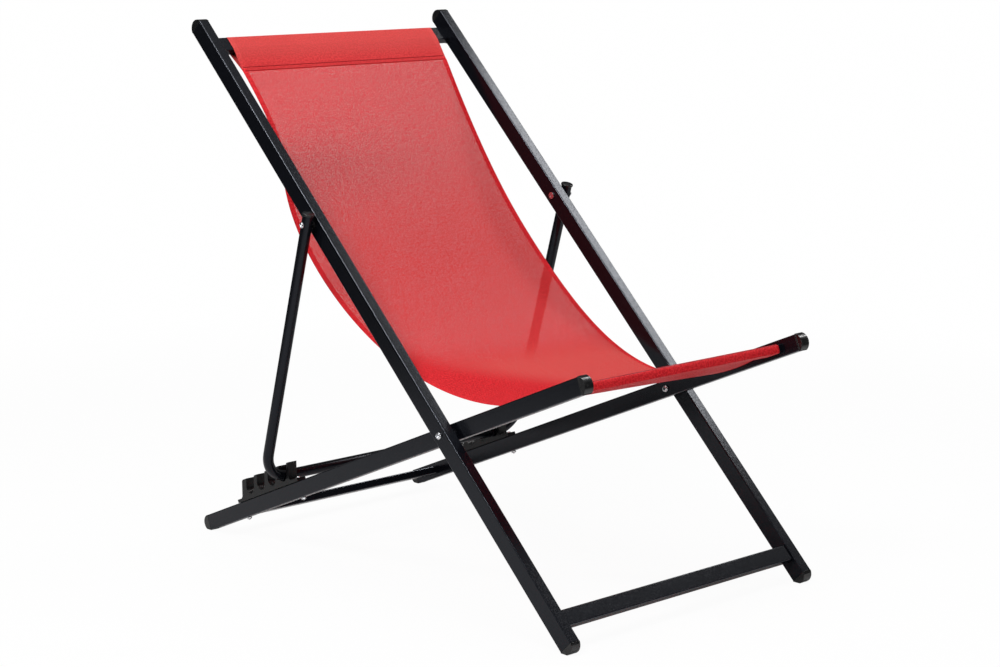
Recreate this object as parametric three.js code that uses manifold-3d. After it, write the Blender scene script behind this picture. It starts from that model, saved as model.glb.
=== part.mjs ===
import * as THREE from 'three';
import { mergeVertices } from 'three/addons/utils/BufferGeometryUtils.js';
import Module from 'manifold-3d';

// Folding sling deckchair, in millimetres, +Z up. The sitter faces -Y and has +X on the left.
// A back frame and a seat frame cross at two pivots. A bent prop on the back frame stands in one
// of the slots of two racks on the seat frame, and a cloth sling hangs between the two frames.

const DEGREE = Math.PI / 180;

// Stance
const BACK_LEAN = 44.6 * DEGREE;
const FLOOR_FLAT_DEPTH = 1.45;

// Back frame: lengths along the rails are taken from the cross pivot, bar insets from the rail ends,
// and the bars lie a little behind and ahead of the middle of the rails
const BACK_OVERALL_WIDTH = 580;
const BACK_RAIL_WIDTH = 20;
const BACK_RAIL_DEPTH = 31;
const BACK_RAIL_UP = 884;
const BACK_RAIL_DOWN = 407;
const TOP_BAR_INSET = 39.5;
const FOOT_BAR_INSET = 43;
const TOP_BAR_BACK = 8;
const FOOT_BAR_AHEAD = 5;

// Seat frame: lengths and insets are taken in the same way
const SEAT_RAIL_WIDTH = 19;
const SEAT_RAIL_HEIGHT = 29;
const SEAT_RAIL_FORWARD = 314;
const SEAT_RAIL_REARWARD = 727;
const FRONT_BAR_INSET = 48;
const REAR_BAR_INSET = 54;

// Flat cross bars of both frames
const BAR_FACE = 29;
const BAR_THICKNESS = 14.5;
const RAIL_EDGE_RADIUS = 2;

// Plastic end caps
const END_CROWN = 12;
const HEEL_SKIRT = 4;
const FRONT_CAP_COLLAR = 3.5;
const FRONT_CAP_PROUD = 0.8;
const FRONT_CAP_CROWN = 8;

// Cross pivots
const CROSS_WASHER_THICKNESS = 5.5;
const CROSS_WASHER_DIAMETER = 18;
const CROSS_SHANK_DIAMETER = 8;
const CROSS_HEAD_DIAMETER = 12;
const CROSS_HEAD_HEIGHT = 4;
const CROSS_NUT_HEIGHT = 5;

// Prop
const PROP_PIVOT_UP = 441;
const PROP_TUBE_DIAMETER = 19;
const PROP_STANDOFF = 4;
const PROP_BEND_RADIUS = 50;
const PROP_STUB = 16;
const PROP_CAP_DIAMETER = 22;
const PROP_CAP_HEIGHT = 4.5;
const PROP_SHANK_DIAMETER = 6;
const PROP_SPACER_DIAMETER = 14;
const PROP_HEAD_DIAMETER = 10;
const PROP_HEAD_HEIGHT = 3.5;
const PROP_NUT_DIAMETER = 12;
const PROP_NUT_HEIGHT = 2.5;

// Racks: plastic combs on the seat rails, their walls plumb in the open chair
const SLOT_COUNT = 4;
const SLOT_PITCH = 34.5;
const SLOT_WIDTH = 22.4;
const SLOT_FLOOR = 9.2;
const FRONT_SLOT_INSET = 252.8;
const RACK_HEIGHT = 37.5;
const RACK_FRONT_WALL = 6;
const RACK_REAR_WALL = 13;
const RACK_FOOT_THICKNESS = 6;
const RACK_FRONT_FILLET = 9;
const RACK_REAR_FILLET = 2.5;
const RACK_FRONT_FOOT = 26;
const RACK_REAR_FOOT = 15.5;
const BAR_SEAT_ANGLE = 30 * DEGREE;

// Rack screws
const SCREW_DIAMETER = 4.5;
const SCREW_HEAD_DIAMETER = 9;
const SCREW_HEAD_HEIGHT = 2.6;
const SCREW_TIP = 5;
const SCREW_EDGE = 8;
const SCREW_NUT_FLATS = 8;
const SCREW_NUT_HEIGHT = 3.2;

// Sling
const SLING_WIDTH = 476;
const SLING_THICKNESS = 1.4;
const TOP_HEM_REACH = 50;
const FRONT_HEM_REACH = 40;
const FRONT_SEAM_RISE = 6;
const HEM_LAP = 4;
const SLING_BACK_ANGLE = 13.9 * DEGREE;
const SLING_BACK_PULL = 814;
const SLING_SEAT_ANGLE = 12.2 * DEGREE;
const SLING_SEAT_PULL = 110;

// Clearances
const FIT_GAP = 0.3;
const BORE_GAP = 0.3;

// Facets
const ROUND_SEGMENTS = 20;
const BEND_STEPS = 8;
const CROWN_STEPS = 10;
const SLING_STEPS = 40;

// Sizes that follow
const backRailX = (BACK_OVERALL_WIDTH - BACK_RAIL_WIDTH) / 2;
const backInnerX = BACK_OVERALL_WIDTH / 2 - BACK_RAIL_WIDTH;
const seatOuterX = backInnerX - CROSS_WASHER_THICKNESS;
const seatRailX = seatOuterX - SEAT_RAIL_WIDTH / 2;
const seatInnerX = seatOuterX - SEAT_RAIL_WIDTH;
const propX = BACK_OVERALL_WIDTH / 2 + PROP_STANDOFF + PROP_TUBE_DIAMETER / 2;
const railTop = SEAT_RAIL_HEIGHT / 2;
const topBarUp = BACK_RAIL_UP - TOP_BAR_INSET;
const footBarDown = BACK_RAIL_DOWN - FOOT_BAR_INSET;
const frontBarForward = SEAT_RAIL_FORWARD - FRONT_BAR_INSET;
const rearBarRearward = SEAT_RAIL_REARWARD - REAR_BAR_INSET;
const frontSlotRearward = SEAT_RAIL_REARWARD - FRONT_SLOT_INSET;

// Radius of an end cap's round that rises by its crown over a rail of a depth.
function crownRadius(depth, crown) {
  return (depth * depth / 4 + crown * crown) / (2 * crown);
}

// The back frame's lean sets the height of the cross pivot, and the seat rails then lean until their
// heels reach the floor too. Both stand on shallow flats in the round of their end caps.
const footRadius = crownRadius(BACK_RAIL_DEPTH, END_CROWN);
const footRound = BACK_RAIL_DOWN + FIT_GAP + END_CROWN - footRadius;
const pivotHeight = footRound * Math.sin(BACK_LEAN) + footRadius - FLOOR_FLAT_DEPTH;
const heelRadius = crownRadius(SEAT_RAIL_HEIGHT, END_CROWN);
const heelRound = SEAT_RAIL_REARWARD + FIT_GAP + HEEL_SKIRT + END_CROWN - heelRadius;
const seatLean = Math.asin((pivotHeight - heelRadius + FLOOR_FLAT_DEPTH) / heelRound);
const backTurn = BACK_LEAN - Math.PI / 2;
const seatTurn = -seatLean;

const wasm = await Module();
wasm.setup();

// Side view point [y, z] of a frame that is turned about the cross pivot.
function turned(turn, [y, z]) {
  const c = Math.cos(turn);
  const s = Math.sin(turn);
  return [y * c - z * s, pivotHeight + y * s + z * c];
}

function toSolid(geometry) {
  const bare = geometry.clone();
  bare.deleteAttribute('normal');
  bare.deleteAttribute('uv');
  const merged = mergeVertices(bare, 1e-4);
  return new wasm.Manifold(new wasm.Mesh({
    numProp: 3,
    vertProperties: new Float32Array(merged.attributes.position.array),
    triVerts: new Uint32Array(merged.index.array),
  }));
}

function toGeometry(solid) {
  const mesh = solid.getMesh();
  const geometry = new THREE.BufferGeometry();
  geometry.setAttribute('position', new THREE.BufferAttribute(new Float32Array(mesh.vertProperties), 3));
  geometry.setIndex(new THREE.BufferAttribute(new Uint32Array(mesh.triVerts), 1));
  geometry.computeVertexNormals();
  return geometry;
}

function cutFrom(body, cutters) {
  const left = cutters.reduce((solid, cutter) => solid.subtract(toSolid(cutter)), toSolid(body));
  return toGeometry(left);
}

function joined(bodies) {
  const [first, ...others] = bodies.map(toSolid);
  return toGeometry(others.reduce((solid, other) => solid.add(other), first));
}

// Bar with rounded long edges: its section lies in x and y, and it runs along z.
function roundedBar(width, depth, from, to) {
  const x = width / 2 - RAIL_EDGE_RADIUS;
  const y = depth / 2 - RAIL_EDGE_RADIUS;
  const section = new THREE.Shape();
  section.absarc(x, y, RAIL_EDGE_RADIUS, 0, Math.PI / 2);
  section.absarc(-x, y, RAIL_EDGE_RADIUS, Math.PI / 2, Math.PI);
  section.absarc(-x, -y, RAIL_EDGE_RADIUS, Math.PI, 1.5 * Math.PI);
  section.absarc(x, -y, RAIL_EDGE_RADIUS, 1.5 * Math.PI, 2 * Math.PI);
  section.closePath();
  const bar = new THREE.ExtrudeGeometry(section, { depth: to - from, bevelEnabled: false, curveSegments: 3 });
  return bar.translate(0, 0, from);
}

// Solid with one outline of [y, z] points all along its width in x.
function sideSolid(outline, centreX, width) {
  const shape = new THREE.Shape(outline.map(([y, z]) => new THREE.Vector2(y, z)));
  const solid = new THREE.ExtrudeGeometry(shape, { depth: width, bevelEnabled: false });
  const stand = new THREE.Matrix4().makeBasis(
    new THREE.Vector3(0, 1, 0),
    new THREE.Vector3(0, 0, 1),
    new THREE.Vector3(1, 0, 0),
  );
  return solid.applyMatrix4(stand).translate(centreX - width / 2, 0, 0);
}

// Turned piece whose axis is x: heights in the profile grow outward on the given side.
function turnedAlongX(profile, side, faceX) {
  const points = profile.map(([radius, height]) => new THREE.Vector2(radius, height));
  const piece = new THREE.LatheGeometry(points, ROUND_SEGMENTS);
  return piece.rotateZ(-side * Math.PI / 2).translate(side * faceX, 0, 0);
}

// Turned piece whose axis is z.
function turnedAlongZ(profile) {
  const points = profile.map(([radius, height]) => new THREE.Vector2(radius, height));
  return new THREE.LatheGeometry(points, ROUND_SEGMENTS).rotateX(Math.PI / 2);
}

function boreAlongX(diameter, centreX, width) {
  const bore = new THREE.CylinderGeometry(diameter / 2, diameter / 2, width, ROUND_SEGMENTS);
  return bore.rotateZ(Math.PI / 2).translate(centreX, 0, 0);
}

function boreAlongZ(diameter, length) {
  return new THREE.CylinderGeometry(diameter / 2, diameter / 2, length, ROUND_SEGMENTS).rotateX(Math.PI / 2);
}

// Plain pin with a domed head: the head stands out from height 0, the shank runs inward.
function pinProfile(headDiameter, headHeight, shankDiameter, shankLength) {
  const head = headDiameter / 2;
  const shank = shankDiameter / 2;
  return [
    [0, -shankLength],
    [shank, -shankLength],
    [shank, FIT_GAP],
    [head, FIT_GAP],
    [head, headHeight * 0.35],
    [head * 0.8, headHeight * 0.8],
    [head * 0.45, headHeight],
    [0, headHeight],
  ];
}

function ringProfile(outerDiameter, boreDiameter, from, to) {
  const bore = boreDiameter / 2 + BORE_GAP;
  const outer = outerDiameter / 2;
  return [[bore, from], [outer, from], [outer, to], [bore, to], [bore, from]];
}

// Half-round end outline past a rail's end: [across, beyond] points from one edge to the other.
function crownOutline(depth, crown) {
  const radius = crownRadius(depth, crown);
  const reach = Math.acos((radius - crown) / radius);
  const points = [];
  for (let step = 0; step <= CROWN_STEPS; step += 1) {
    const angle = reach * (2 * step / CROWN_STEPS - 1);
    points.push([radius * Math.sin(angle), radius * Math.cos(angle) - radius + crown]);
  }
  return points;
}

// Part of an outline of a turned frame that stands above the floor.
function aboveFloor(outline, turn) {
  const kept = [];
  outline.forEach((point, index) => {
    const next = outline[(index + 1) % outline.length];
    const [, height] = turned(turn, point);
    const [, nextHeight] = turned(turn, next);
    if (height >= 0) kept.push(point);
    if ((height < 0) !== (nextHeight < 0)) {
      const share = height / (height - nextHeight);
      kept.push([0, 1].map((axis) => point[axis] + share * (next[axis] - point[axis])));
    }
  });
  return kept;
}

const coatedSteel = { color: 0x1b1b1d, roughness: 0.5, metalness: 0.35 };
const blackPlastic = { color: 0x161617, roughness: 0.42, metalness: 0 };
const zincSteel = { color: 0xb9bcc0, roughness: 0.32, metalness: 0.9 };
const redMesh = { color: 0xc02a30, roughness: 0.75, metalness: 0 };

const chair = new THREE.Group();
const backFrame = new THREE.Group();
const seatFrame = new THREE.Group();
const prop = new THREE.Group();
backFrame.position.z = pivotHeight;
backFrame.rotation.x = backTurn;
seatFrame.position.z = pivotHeight;
seatFrame.rotation.x = seatTurn;
chair.add(backFrame, seatFrame, prop);

function addPiece(group, name, geometry, finish, y = 0, z = 0) {
  const mesh = new THREE.Mesh(geometry, new THREE.MeshStandardMaterial(finish));
  mesh.name = name;
  mesh.position.set(0, y, z);
  group.add(mesh);
}

const sides = [
  { word: 'right', sign: -1 },
  { word: 'left', sign: 1 },
];

// Back frame: +Z runs up the rails and +Y out of their rear faces
const backBarLength = 2 * (backInnerX - FIT_GAP);

for (const { word, sign } of sides) {
  const crossBore = boreAlongX(CROSS_SHANK_DIAMETER + 2 * BORE_GAP, sign * backRailX, 2 * BACK_RAIL_WIDTH);
  const propBore = boreAlongX(PROP_SHANK_DIAMETER + 2 * BORE_GAP, sign * backRailX, 2 * BACK_RAIL_WIDTH);
  propBore.translate(0, 0, PROP_PIVOT_UP);
  const rail = roundedBar(BACK_RAIL_WIDTH, BACK_RAIL_DEPTH, -BACK_RAIL_DOWN, BACK_RAIL_UP);
  rail.translate(sign * backRailX, 0, 0);
  addPiece(backFrame, `back_rail_${word}`, cutFrom(rail, [crossBore, propBore]), coatedSteel);

  const crown = crownOutline(BACK_RAIL_DEPTH, END_CROWN);
  const topCap = crown.map(([y, beyond]) => [y, BACK_RAIL_UP + FIT_GAP + beyond]);
  addPiece(backFrame, `back_cap_${word}`, sideSolid(topCap, sign * backRailX, BACK_RAIL_WIDTH), blackPlastic);
  const footCap = crown.map(([y, beyond]) => [y, -BACK_RAIL_DOWN - FIT_GAP - beyond]);
  const standing = aboveFloor(footCap, backTurn);
  addPiece(backFrame, `foot_cap_${word}`, sideSolid(standing, sign * backRailX, BACK_RAIL_WIDTH), blackPlastic);
}

const uprightBar = roundedBar(BAR_FACE, BAR_THICKNESS, -backBarLength / 2, backBarLength / 2).rotateY(Math.PI / 2);
addPiece(backFrame, 'top_bar', uprightBar, coatedSteel, TOP_BAR_BACK, topBarUp);
addPiece(backFrame, 'foot_bar', uprightBar.clone(), coatedSteel, -FOOT_BAR_AHEAD, -footBarDown);

// Seat frame: +Y runs rearward along the rails and +Z out of their upper faces
const seatBarLength = 2 * (seatInnerX - FIT_GAP);
const flatBar = roundedBar(BAR_THICKNESS, BAR_FACE, -seatBarLength / 2, seatBarLength / 2).rotateY(Math.PI / 2);
addPiece(seatFrame, 'front_bar', flatBar, coatedSteel, -frontBarForward, 0);
addPiece(seatFrame, 'rear_bar', flatBar.clone(), coatedSteel, rearBarRearward, 0);

// World directions as seen in the seat frame
const plumb = [-Math.sin(seatLean), Math.cos(seatLean)];
const level = [Math.cos(seatLean), Math.sin(seatLean)];
const slotRadius = SLOT_WIDTH / 2;
const rackBase = railTop + FIT_GAP;
const rackTop = railTop + RACK_HEIGHT;
const footTop = rackBase + RACK_FOOT_THICKNESS;

// Centre of a slot's round floor, counted from the front slot.
function slotCentre(count) {
  const y = frontSlotRearward + count * SLOT_PITCH + slotRadius * plumb[0];
  return [y, railTop + SLOT_FLOOR + slotRadius * plumb[1]];
}

// Point of a plumb wall at a height, a level distance from a slot's middle.
function wallPoint(count, offset, z) {
  const [y0, z0] = slotCentre(count);
  const y = y0 + offset * level[0];
  const rise = z - z0 - offset * level[1];
  return [y + rise * plumb[0] / plumb[1], z];
}

function slotCutter(count, centreX) {
  const [y0, z0] = slotCentre(count);
  const outline = [];
  const place = (across, up) => outline.push([
    y0 + across * level[0] + up * plumb[0],
    z0 + across * level[1] + up * plumb[1],
  ]);
  for (let step = 0; step <= CROWN_STEPS; step += 1) {
    const angle = Math.PI * (1 + step / CROWN_STEPS);
    place(slotRadius * Math.cos(angle), slotRadius * Math.sin(angle));
  }
  place(slotRadius, RACK_HEIGHT);
  place(-slotRadius, RACK_HEIGHT);
  return sideSolid(outline, centreX, 2 * SEAT_RAIL_WIDTH);
}

const lastSlot = SLOT_COUNT - 1;
const frontWall = -slotRadius - RACK_FRONT_WALL;
const rearWall = slotRadius + RACK_REAR_WALL;
const frontFootTip = wallPoint(0, frontWall, footTop)[0] - RACK_FRONT_FOOT;
const rearFootTip = wallPoint(lastSlot, rearWall, footTop)[0] + RACK_REAR_FOOT;
const rackOutline = [
  [frontFootTip, rackBase],
  [rearFootTip, rackBase],
  [rearFootTip, footTop],
  [wallPoint(lastSlot, rearWall, footTop)[0] + RACK_REAR_FILLET, footTop],
  wallPoint(lastSlot, rearWall, footTop + RACK_REAR_FILLET),
  wallPoint(lastSlot, rearWall, rackTop - RAIL_EDGE_RADIUS),
  [wallPoint(lastSlot, rearWall, rackTop)[0] - RAIL_EDGE_RADIUS, rackTop],
  wallPoint(0, frontWall, rackTop),
  wallPoint(0, frontWall, footTop + RACK_FRONT_FILLET),
  [wallPoint(0, frontWall, footTop)[0] - RACK_FRONT_FILLET * 0.3, footTop + RACK_FRONT_FILLET * 0.3],
  [wallPoint(0, frontWall, footTop)[0] - RACK_FRONT_FILLET, footTop],
  [frontFootTip, footTop],
];
const screws = [
  { place: 'front', y: frontFootTip + SCREW_EDGE },
  { place: 'rear', y: rearFootTip - SCREW_EDGE },
];
const screwLength = footTop + railTop + SCREW_TIP;
const screwBoreLength = 4 * SEAT_RAIL_HEIGHT;

for (const { word, sign } of sides) {
  const crossBore = boreAlongX(CROSS_SHANK_DIAMETER + 2 * BORE_GAP, sign * seatRailX, 2 * SEAT_RAIL_WIDTH);
  const screwBores = screws.map(({ y }) => (
    boreAlongZ(SCREW_DIAMETER + 2 * BORE_GAP, screwBoreLength).translate(sign * seatRailX, y, 0)
  ));
  const rail = roundedBar(SEAT_RAIL_WIDTH, SEAT_RAIL_HEIGHT, -SEAT_RAIL_REARWARD, SEAT_RAIL_FORWARD);
  rail.rotateX(Math.PI / 2).translate(sign * seatRailX, 0, 0);
  addPiece(seatFrame, `seat_rail_${word}`, cutFrom(rail, [crossBore, ...screwBores]), coatedSteel);

  const crown = crownOutline(SEAT_RAIL_HEIGHT, END_CROWN);
  const heelSeam = SEAT_RAIL_REARWARD + FIT_GAP;
  const heelCap = crown.map(([z, beyond]) => [heelSeam + HEEL_SKIRT + beyond, z]);
  heelCap.push([heelSeam, railTop], [heelSeam, -railTop]);
  const standing = aboveFloor(heelCap, seatTurn);
  addPiece(seatFrame, `heel_cap_${word}`, sideSolid(standing, sign * seatRailX, SEAT_RAIL_WIDTH), blackPlastic);

  const collarFront = -SEAT_RAIL_FORWARD - FIT_GAP - FRONT_CAP_COLLAR;
  const collarHalf = railTop + FRONT_CAP_PROUD;
  const collar = sideSolid([
    [collarFront, -collarHalf],
    [collarFront + FRONT_CAP_COLLAR, -collarHalf],
    [collarFront + FRONT_CAP_COLLAR, collarHalf],
    [collarFront, collarHalf],
  ], sign * seatRailX, SEAT_RAIL_WIDTH + 2 * FRONT_CAP_PROUD);
  const nose = crownOutline(SEAT_RAIL_HEIGHT, FRONT_CAP_CROWN).map(([z, beyond]) => [collarFront - beyond, z]);
  nose.push([collarFront + FRONT_CAP_COLLAR / 2, railTop], [collarFront + FRONT_CAP_COLLAR / 2, -railTop]);
  const noseSolid = sideSolid(nose, sign * seatRailX, SEAT_RAIL_WIDTH);
  addPiece(seatFrame, `front_cap_${word}`, joined([collar, noseSolid]), blackPlastic);

  const comb = sideSolid(rackOutline, sign * seatRailX, SEAT_RAIL_WIDTH);
  const slots = Array.from({ length: SLOT_COUNT }, (unused, count) => slotCutter(count, sign * seatRailX));
  addPiece(seatFrame, `rack_${word}`, cutFrom(comb, [...slots, ...screwBores]), blackPlastic);

  for (const { place, y } of screws) {
    const pin = pinProfile(SCREW_HEAD_DIAMETER, SCREW_HEAD_HEIGHT, SCREW_DIAMETER, screwLength);
    const screw = turnedAlongZ(pin).translate(sign * seatRailX, 0, 0);
    addPiece(seatFrame, `rack_screw_${place}_${word}`, screw, zincSteel, y, footTop);
    const nutCorner = SCREW_NUT_FLATS / 2 / Math.cos(Math.PI / 6);
    const hexagon = new THREE.CylinderGeometry(nutCorner, nutCorner, SCREW_NUT_HEIGHT, 6).rotateX(Math.PI / 2);
    const thread = boreAlongZ(SCREW_DIAMETER + 2 * BORE_GAP, 2 * SCREW_NUT_HEIGHT);
    const nut = cutFrom(hexagon, [thread]).translate(sign * seatRailX, 0, 0);
    const nutMiddle = -railTop - FIT_GAP - SCREW_NUT_HEIGHT / 2;
    addPiece(seatFrame, `rack_nut_${place}_${word}`, nut, zincSteel, y, nutMiddle);
  }
}

// Cross pivots: a pin through both rails, a washer between them and a cap nut inside
const crossShank = BACK_OVERALL_WIDTH / 2 - seatInnerX + CROSS_NUT_HEIGHT * 0.6;

for (const { word, sign } of sides) {
  const pin = pinProfile(CROSS_HEAD_DIAMETER, CROSS_HEAD_HEIGHT, CROSS_SHANK_DIAMETER, crossShank);
  addPiece(backFrame, `cross_pin_${word}`, turnedAlongX(pin, sign, BACK_OVERALL_WIDTH / 2), zincSteel);

  const washer = ringProfile(CROSS_WASHER_DIAMETER, CROSS_SHANK_DIAMETER, FIT_GAP, CROSS_WASHER_THICKNESS - FIT_GAP);
  addPiece(backFrame, `cross_washer_${word}`, turnedAlongX(washer, sign, seatOuterX), zincSteel);

  const bore = CROSS_SHANK_DIAMETER / 2 + BORE_GAP;
  const outer = CROSS_HEAD_DIAMETER / 2;
  const boreEnd = CROSS_NUT_HEIGHT * 0.6 + FIT_GAP;
  const capNut = [
    [0, boreEnd],
    [bore, boreEnd],
    [bore, FIT_GAP],
    [outer, FIT_GAP],
    [outer, CROSS_NUT_HEIGHT * 0.45],
    [outer * 0.8, CROSS_NUT_HEIGHT * 0.85],
    [outer * 0.45, CROSS_NUT_HEIGHT],
    [0, CROSS_NUT_HEIGHT],
  ];
  addPiece(backFrame, `cross_nut_${word}`, turnedAlongX(capNut, -sign, -seatInnerX), zincSteel);
}

// Prop: +Z runs up its legs from the middle of its bar to its pivots
const propPivot = turned(backTurn, [0, PROP_PIVOT_UP]);
const barSlack = slotRadius - PROP_TUBE_DIAMETER / 2 - FIT_GAP;
const slotMiddle = turned(seatTurn, slotCentre(0));
const propBar = [
  slotMiddle[0] + barSlack * Math.sin(BAR_SEAT_ANGLE),
  slotMiddle[1] - barSlack * Math.cos(BAR_SEAT_ANGLE),
];
const propLength = Math.hypot(propPivot[0] - propBar[0], propPivot[1] - propBar[1]);
prop.position.set(0, propPivot[0], propPivot[1]);
prop.rotation.x = Math.atan2(propBar[0] - propPivot[0], propPivot[1] - propBar[1]);

// Centre line of the prop: two legs, two quarter bends and the bar between them.
class PropLine extends THREE.Curve {
  station(share) {
    const last = 2 * BEND_STEPS + 3;
    const count = Math.round(share * last);
    const mirrored = count > last / 2;
    const step = mirrored ? last - count : count;
    const angle = Math.max(step - 1, 0) / BEND_STEPS * Math.PI / 2;
    return { mirrored, step, angle };
  }

  getPointAt(share, target = new THREE.Vector3()) {
    const { mirrored, step, angle } = this.station(share);
    const x = -propX + PROP_BEND_RADIUS * (1 - Math.cos(angle));
    const z = step === 0 ? PROP_STUB : -propLength + PROP_BEND_RADIUS * (1 - Math.sin(angle));
    return target.set(mirrored ? -x : x, 0, z);
  }

  getTangentAt(share, target = new THREE.Vector3()) {
    const { mirrored, angle } = this.station(share);
    const fall = Math.cos(angle);
    return target.set(Math.sin(angle), 0, mirrored ? fall : -fall);
  }
}

const tubeSection = new THREE.Shape();
tubeSection.absarc(0, 0, PROP_TUBE_DIAMETER / 2, 0, 2 * Math.PI);
const propTube = new THREE.ExtrudeGeometry(tubeSection, {
  extrudePath: new PropLine(),
  steps: 2 * BEND_STEPS + 3,
  curveSegments: ROUND_SEGMENTS / 2,
});
const propBores = sides.map(({ sign }) => (
  boreAlongX(PROP_SHANK_DIAMETER + 2 * BORE_GAP, sign * propX, 2 * PROP_TUBE_DIAMETER)
));
addPiece(prop, 'prop_tube', cutFrom(propTube, propBores), coatedSteel);

const propGrip = PROP_STANDOFF + PROP_TUBE_DIAMETER;
const propShank = propGrip + BACK_RAIL_WIDTH + PROP_NUT_HEIGHT;

for (const { word, sign } of sides) {
  const capRadius = PROP_CAP_DIAMETER / 2;
  const cap = [
    [0, FIT_GAP],
    [capRadius - 1, FIT_GAP],
    [capRadius, PROP_CAP_HEIGHT * 0.3],
    [capRadius, PROP_CAP_HEIGHT * 0.7],
    [capRadius - 1.5, PROP_CAP_HEIGHT],
    [0, PROP_CAP_HEIGHT],
  ];
  const capPiece = turnedAlongZ(cap).translate(sign * propX, 0, 0);
  addPiece(prop, `prop_cap_${word}`, capPiece, blackPlastic, 0, PROP_STUB);

  const pin = pinProfile(PROP_HEAD_DIAMETER, PROP_HEAD_HEIGHT, PROP_SHANK_DIAMETER, propShank);
  const bolt = turnedAlongX(pin, sign, BACK_OVERALL_WIDTH / 2 + propGrip);
  addPiece(backFrame, `prop_bolt_${word}`, bolt, zincSteel, 0, PROP_PIVOT_UP);

  const spacer = ringProfile(PROP_SPACER_DIAMETER, PROP_SHANK_DIAMETER, FIT_GAP, PROP_STANDOFF - FIT_GAP);
  const spacerPiece = turnedAlongX(spacer, sign, BACK_OVERALL_WIDTH / 2);
  addPiece(backFrame, `prop_spacer_${word}`, spacerPiece, blackPlastic, 0, PROP_PIVOT_UP);

  const nut = ringProfile(PROP_NUT_DIAMETER, PROP_SHANK_DIAMETER, FIT_GAP, PROP_NUT_HEIGHT);
  const nutPiece = turnedAlongX(nut, -sign, -backInnerX);
  addPiece(backFrame, `prop_nut_${word}`, nutPiece, zincSteel, 0, PROP_PIVOT_UP);
}

// Sling: a hem pocket round the top bar and one round the front bar, and one cloth between them
const topHem = {
  centre: turned(backTurn, [TOP_BAR_BACK, topBarUp]),
  inward: [-Math.cos(BACK_LEAN), -Math.sin(BACK_LEAN)],
  reach: TOP_HEM_REACH,
  rise: 0,
};
const frontHem = {
  centre: turned(seatTurn, [-frontBarForward, 0]),
  inward: [Math.cos(seatLean), -Math.sin(seatLean)],
  reach: FRONT_HEM_REACH,
  rise: FRONT_SEAM_RISE,
};

// Side view point of a hem: along the cloth from its bar, and aside square to that.
function hemPoint({ centre, inward }, along, aside) {
  return [
    centre[0] + along * inward[0] - aside * inward[1],
    centre[1] + along * inward[1] + aside * inward[0],
  ];
}

// Outline round a bar that narrows to the seam where the hem's two layers meet.
function hemOutline(hem, margin, lap, seamHalf) {
  const across = BAR_FACE / 2 + margin;
  const out = BAR_THICKNESS / 2 + margin;
  const corner = margin / 2;
  const outline = [
    [-across, -out + corner],
    [-across + corner, -out],
    [across, -out],
    [hem.reach + lap, hem.rise - seamHalf],
    [hem.reach + lap, hem.rise + seamHalf],
    [across, out],
    [-across + corner, out],
    [-across, out - corner],
  ];
  return outline.map(([along, aside]) => hemPoint(hem, along, aside));
}

function pulled([y, z], [along, up], angle, pull) {
  const c = Math.cos(angle);
  const s = Math.sin(angle);
  return new THREE.Vector2(y + pull * (along * c - up * s), z + pull * (along * s + up * c));
}

const topSeam = hemPoint(topHem, topHem.reach, topHem.rise);
const frontSeam = hemPoint(frontHem, frontHem.reach, frontHem.rise);
const slingLine = new THREE.CubicBezierCurve(
  new THREE.Vector2(...topSeam),
  pulled(topSeam, topHem.inward, SLING_BACK_ANGLE, SLING_BACK_PULL),
  pulled(frontSeam, frontHem.inward, SLING_SEAT_ANGLE, SLING_SEAT_PULL),
  new THREE.Vector2(...frontSeam),
);
const upperSide = [];
const lowerSide = [];
for (let step = 0; step <= SLING_STEPS; step += 1) {
  const point = slingLine.getPoint(step / SLING_STEPS);
  const heading = slingLine.getTangent(step / SLING_STEPS);
  const aside = SLING_THICKNESS / 2;
  upperSide.push([point.x - heading.y * aside, point.y + heading.x * aside]);
  lowerSide.unshift([point.x + heading.y * aside, point.y - heading.x * aside]);
}
const clothMargin = FIT_GAP + SLING_THICKNESS;
const seamHalf = SLING_THICKNESS / 2;
const cloth = sideSolid([...upperSide, ...lowerSide], 0, SLING_WIDTH);
const hems = [topHem, frontHem].map((hem) => (
  sideSolid(hemOutline(hem, clothMargin, HEM_LAP, seamHalf), 0, SLING_WIDTH)
));
const pockets = [topHem, frontHem].map((hem) => (
  sideSolid(hemOutline(hem, FIT_GAP, -HEM_LAP, seamHalf / 2), 0, 2 * SLING_WIDTH)
));
addPiece(chair, 'sling', cutFrom(joined([cloth, ...hems]), pockets), redMesh);

// The origin is on the floor, in the middle of the chair's length and width.
chair.updateMatrixWorld(true);
const box = new THREE.Box3().setFromObject(chair);
chair.position.y = -(box.min.y + box.max.y) / 2;
chair.updateMatrixWorld(true);

export default chair;
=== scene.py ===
import logging
from dataclasses import dataclass
from enum import Enum
from math import atan2, comb, cos, pi, radians, sin
from typing import Any, Callable, Optional, Sequence

import bpy
import numpy as np
from mathutils import Matrix, Quaternion, Vector


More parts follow.
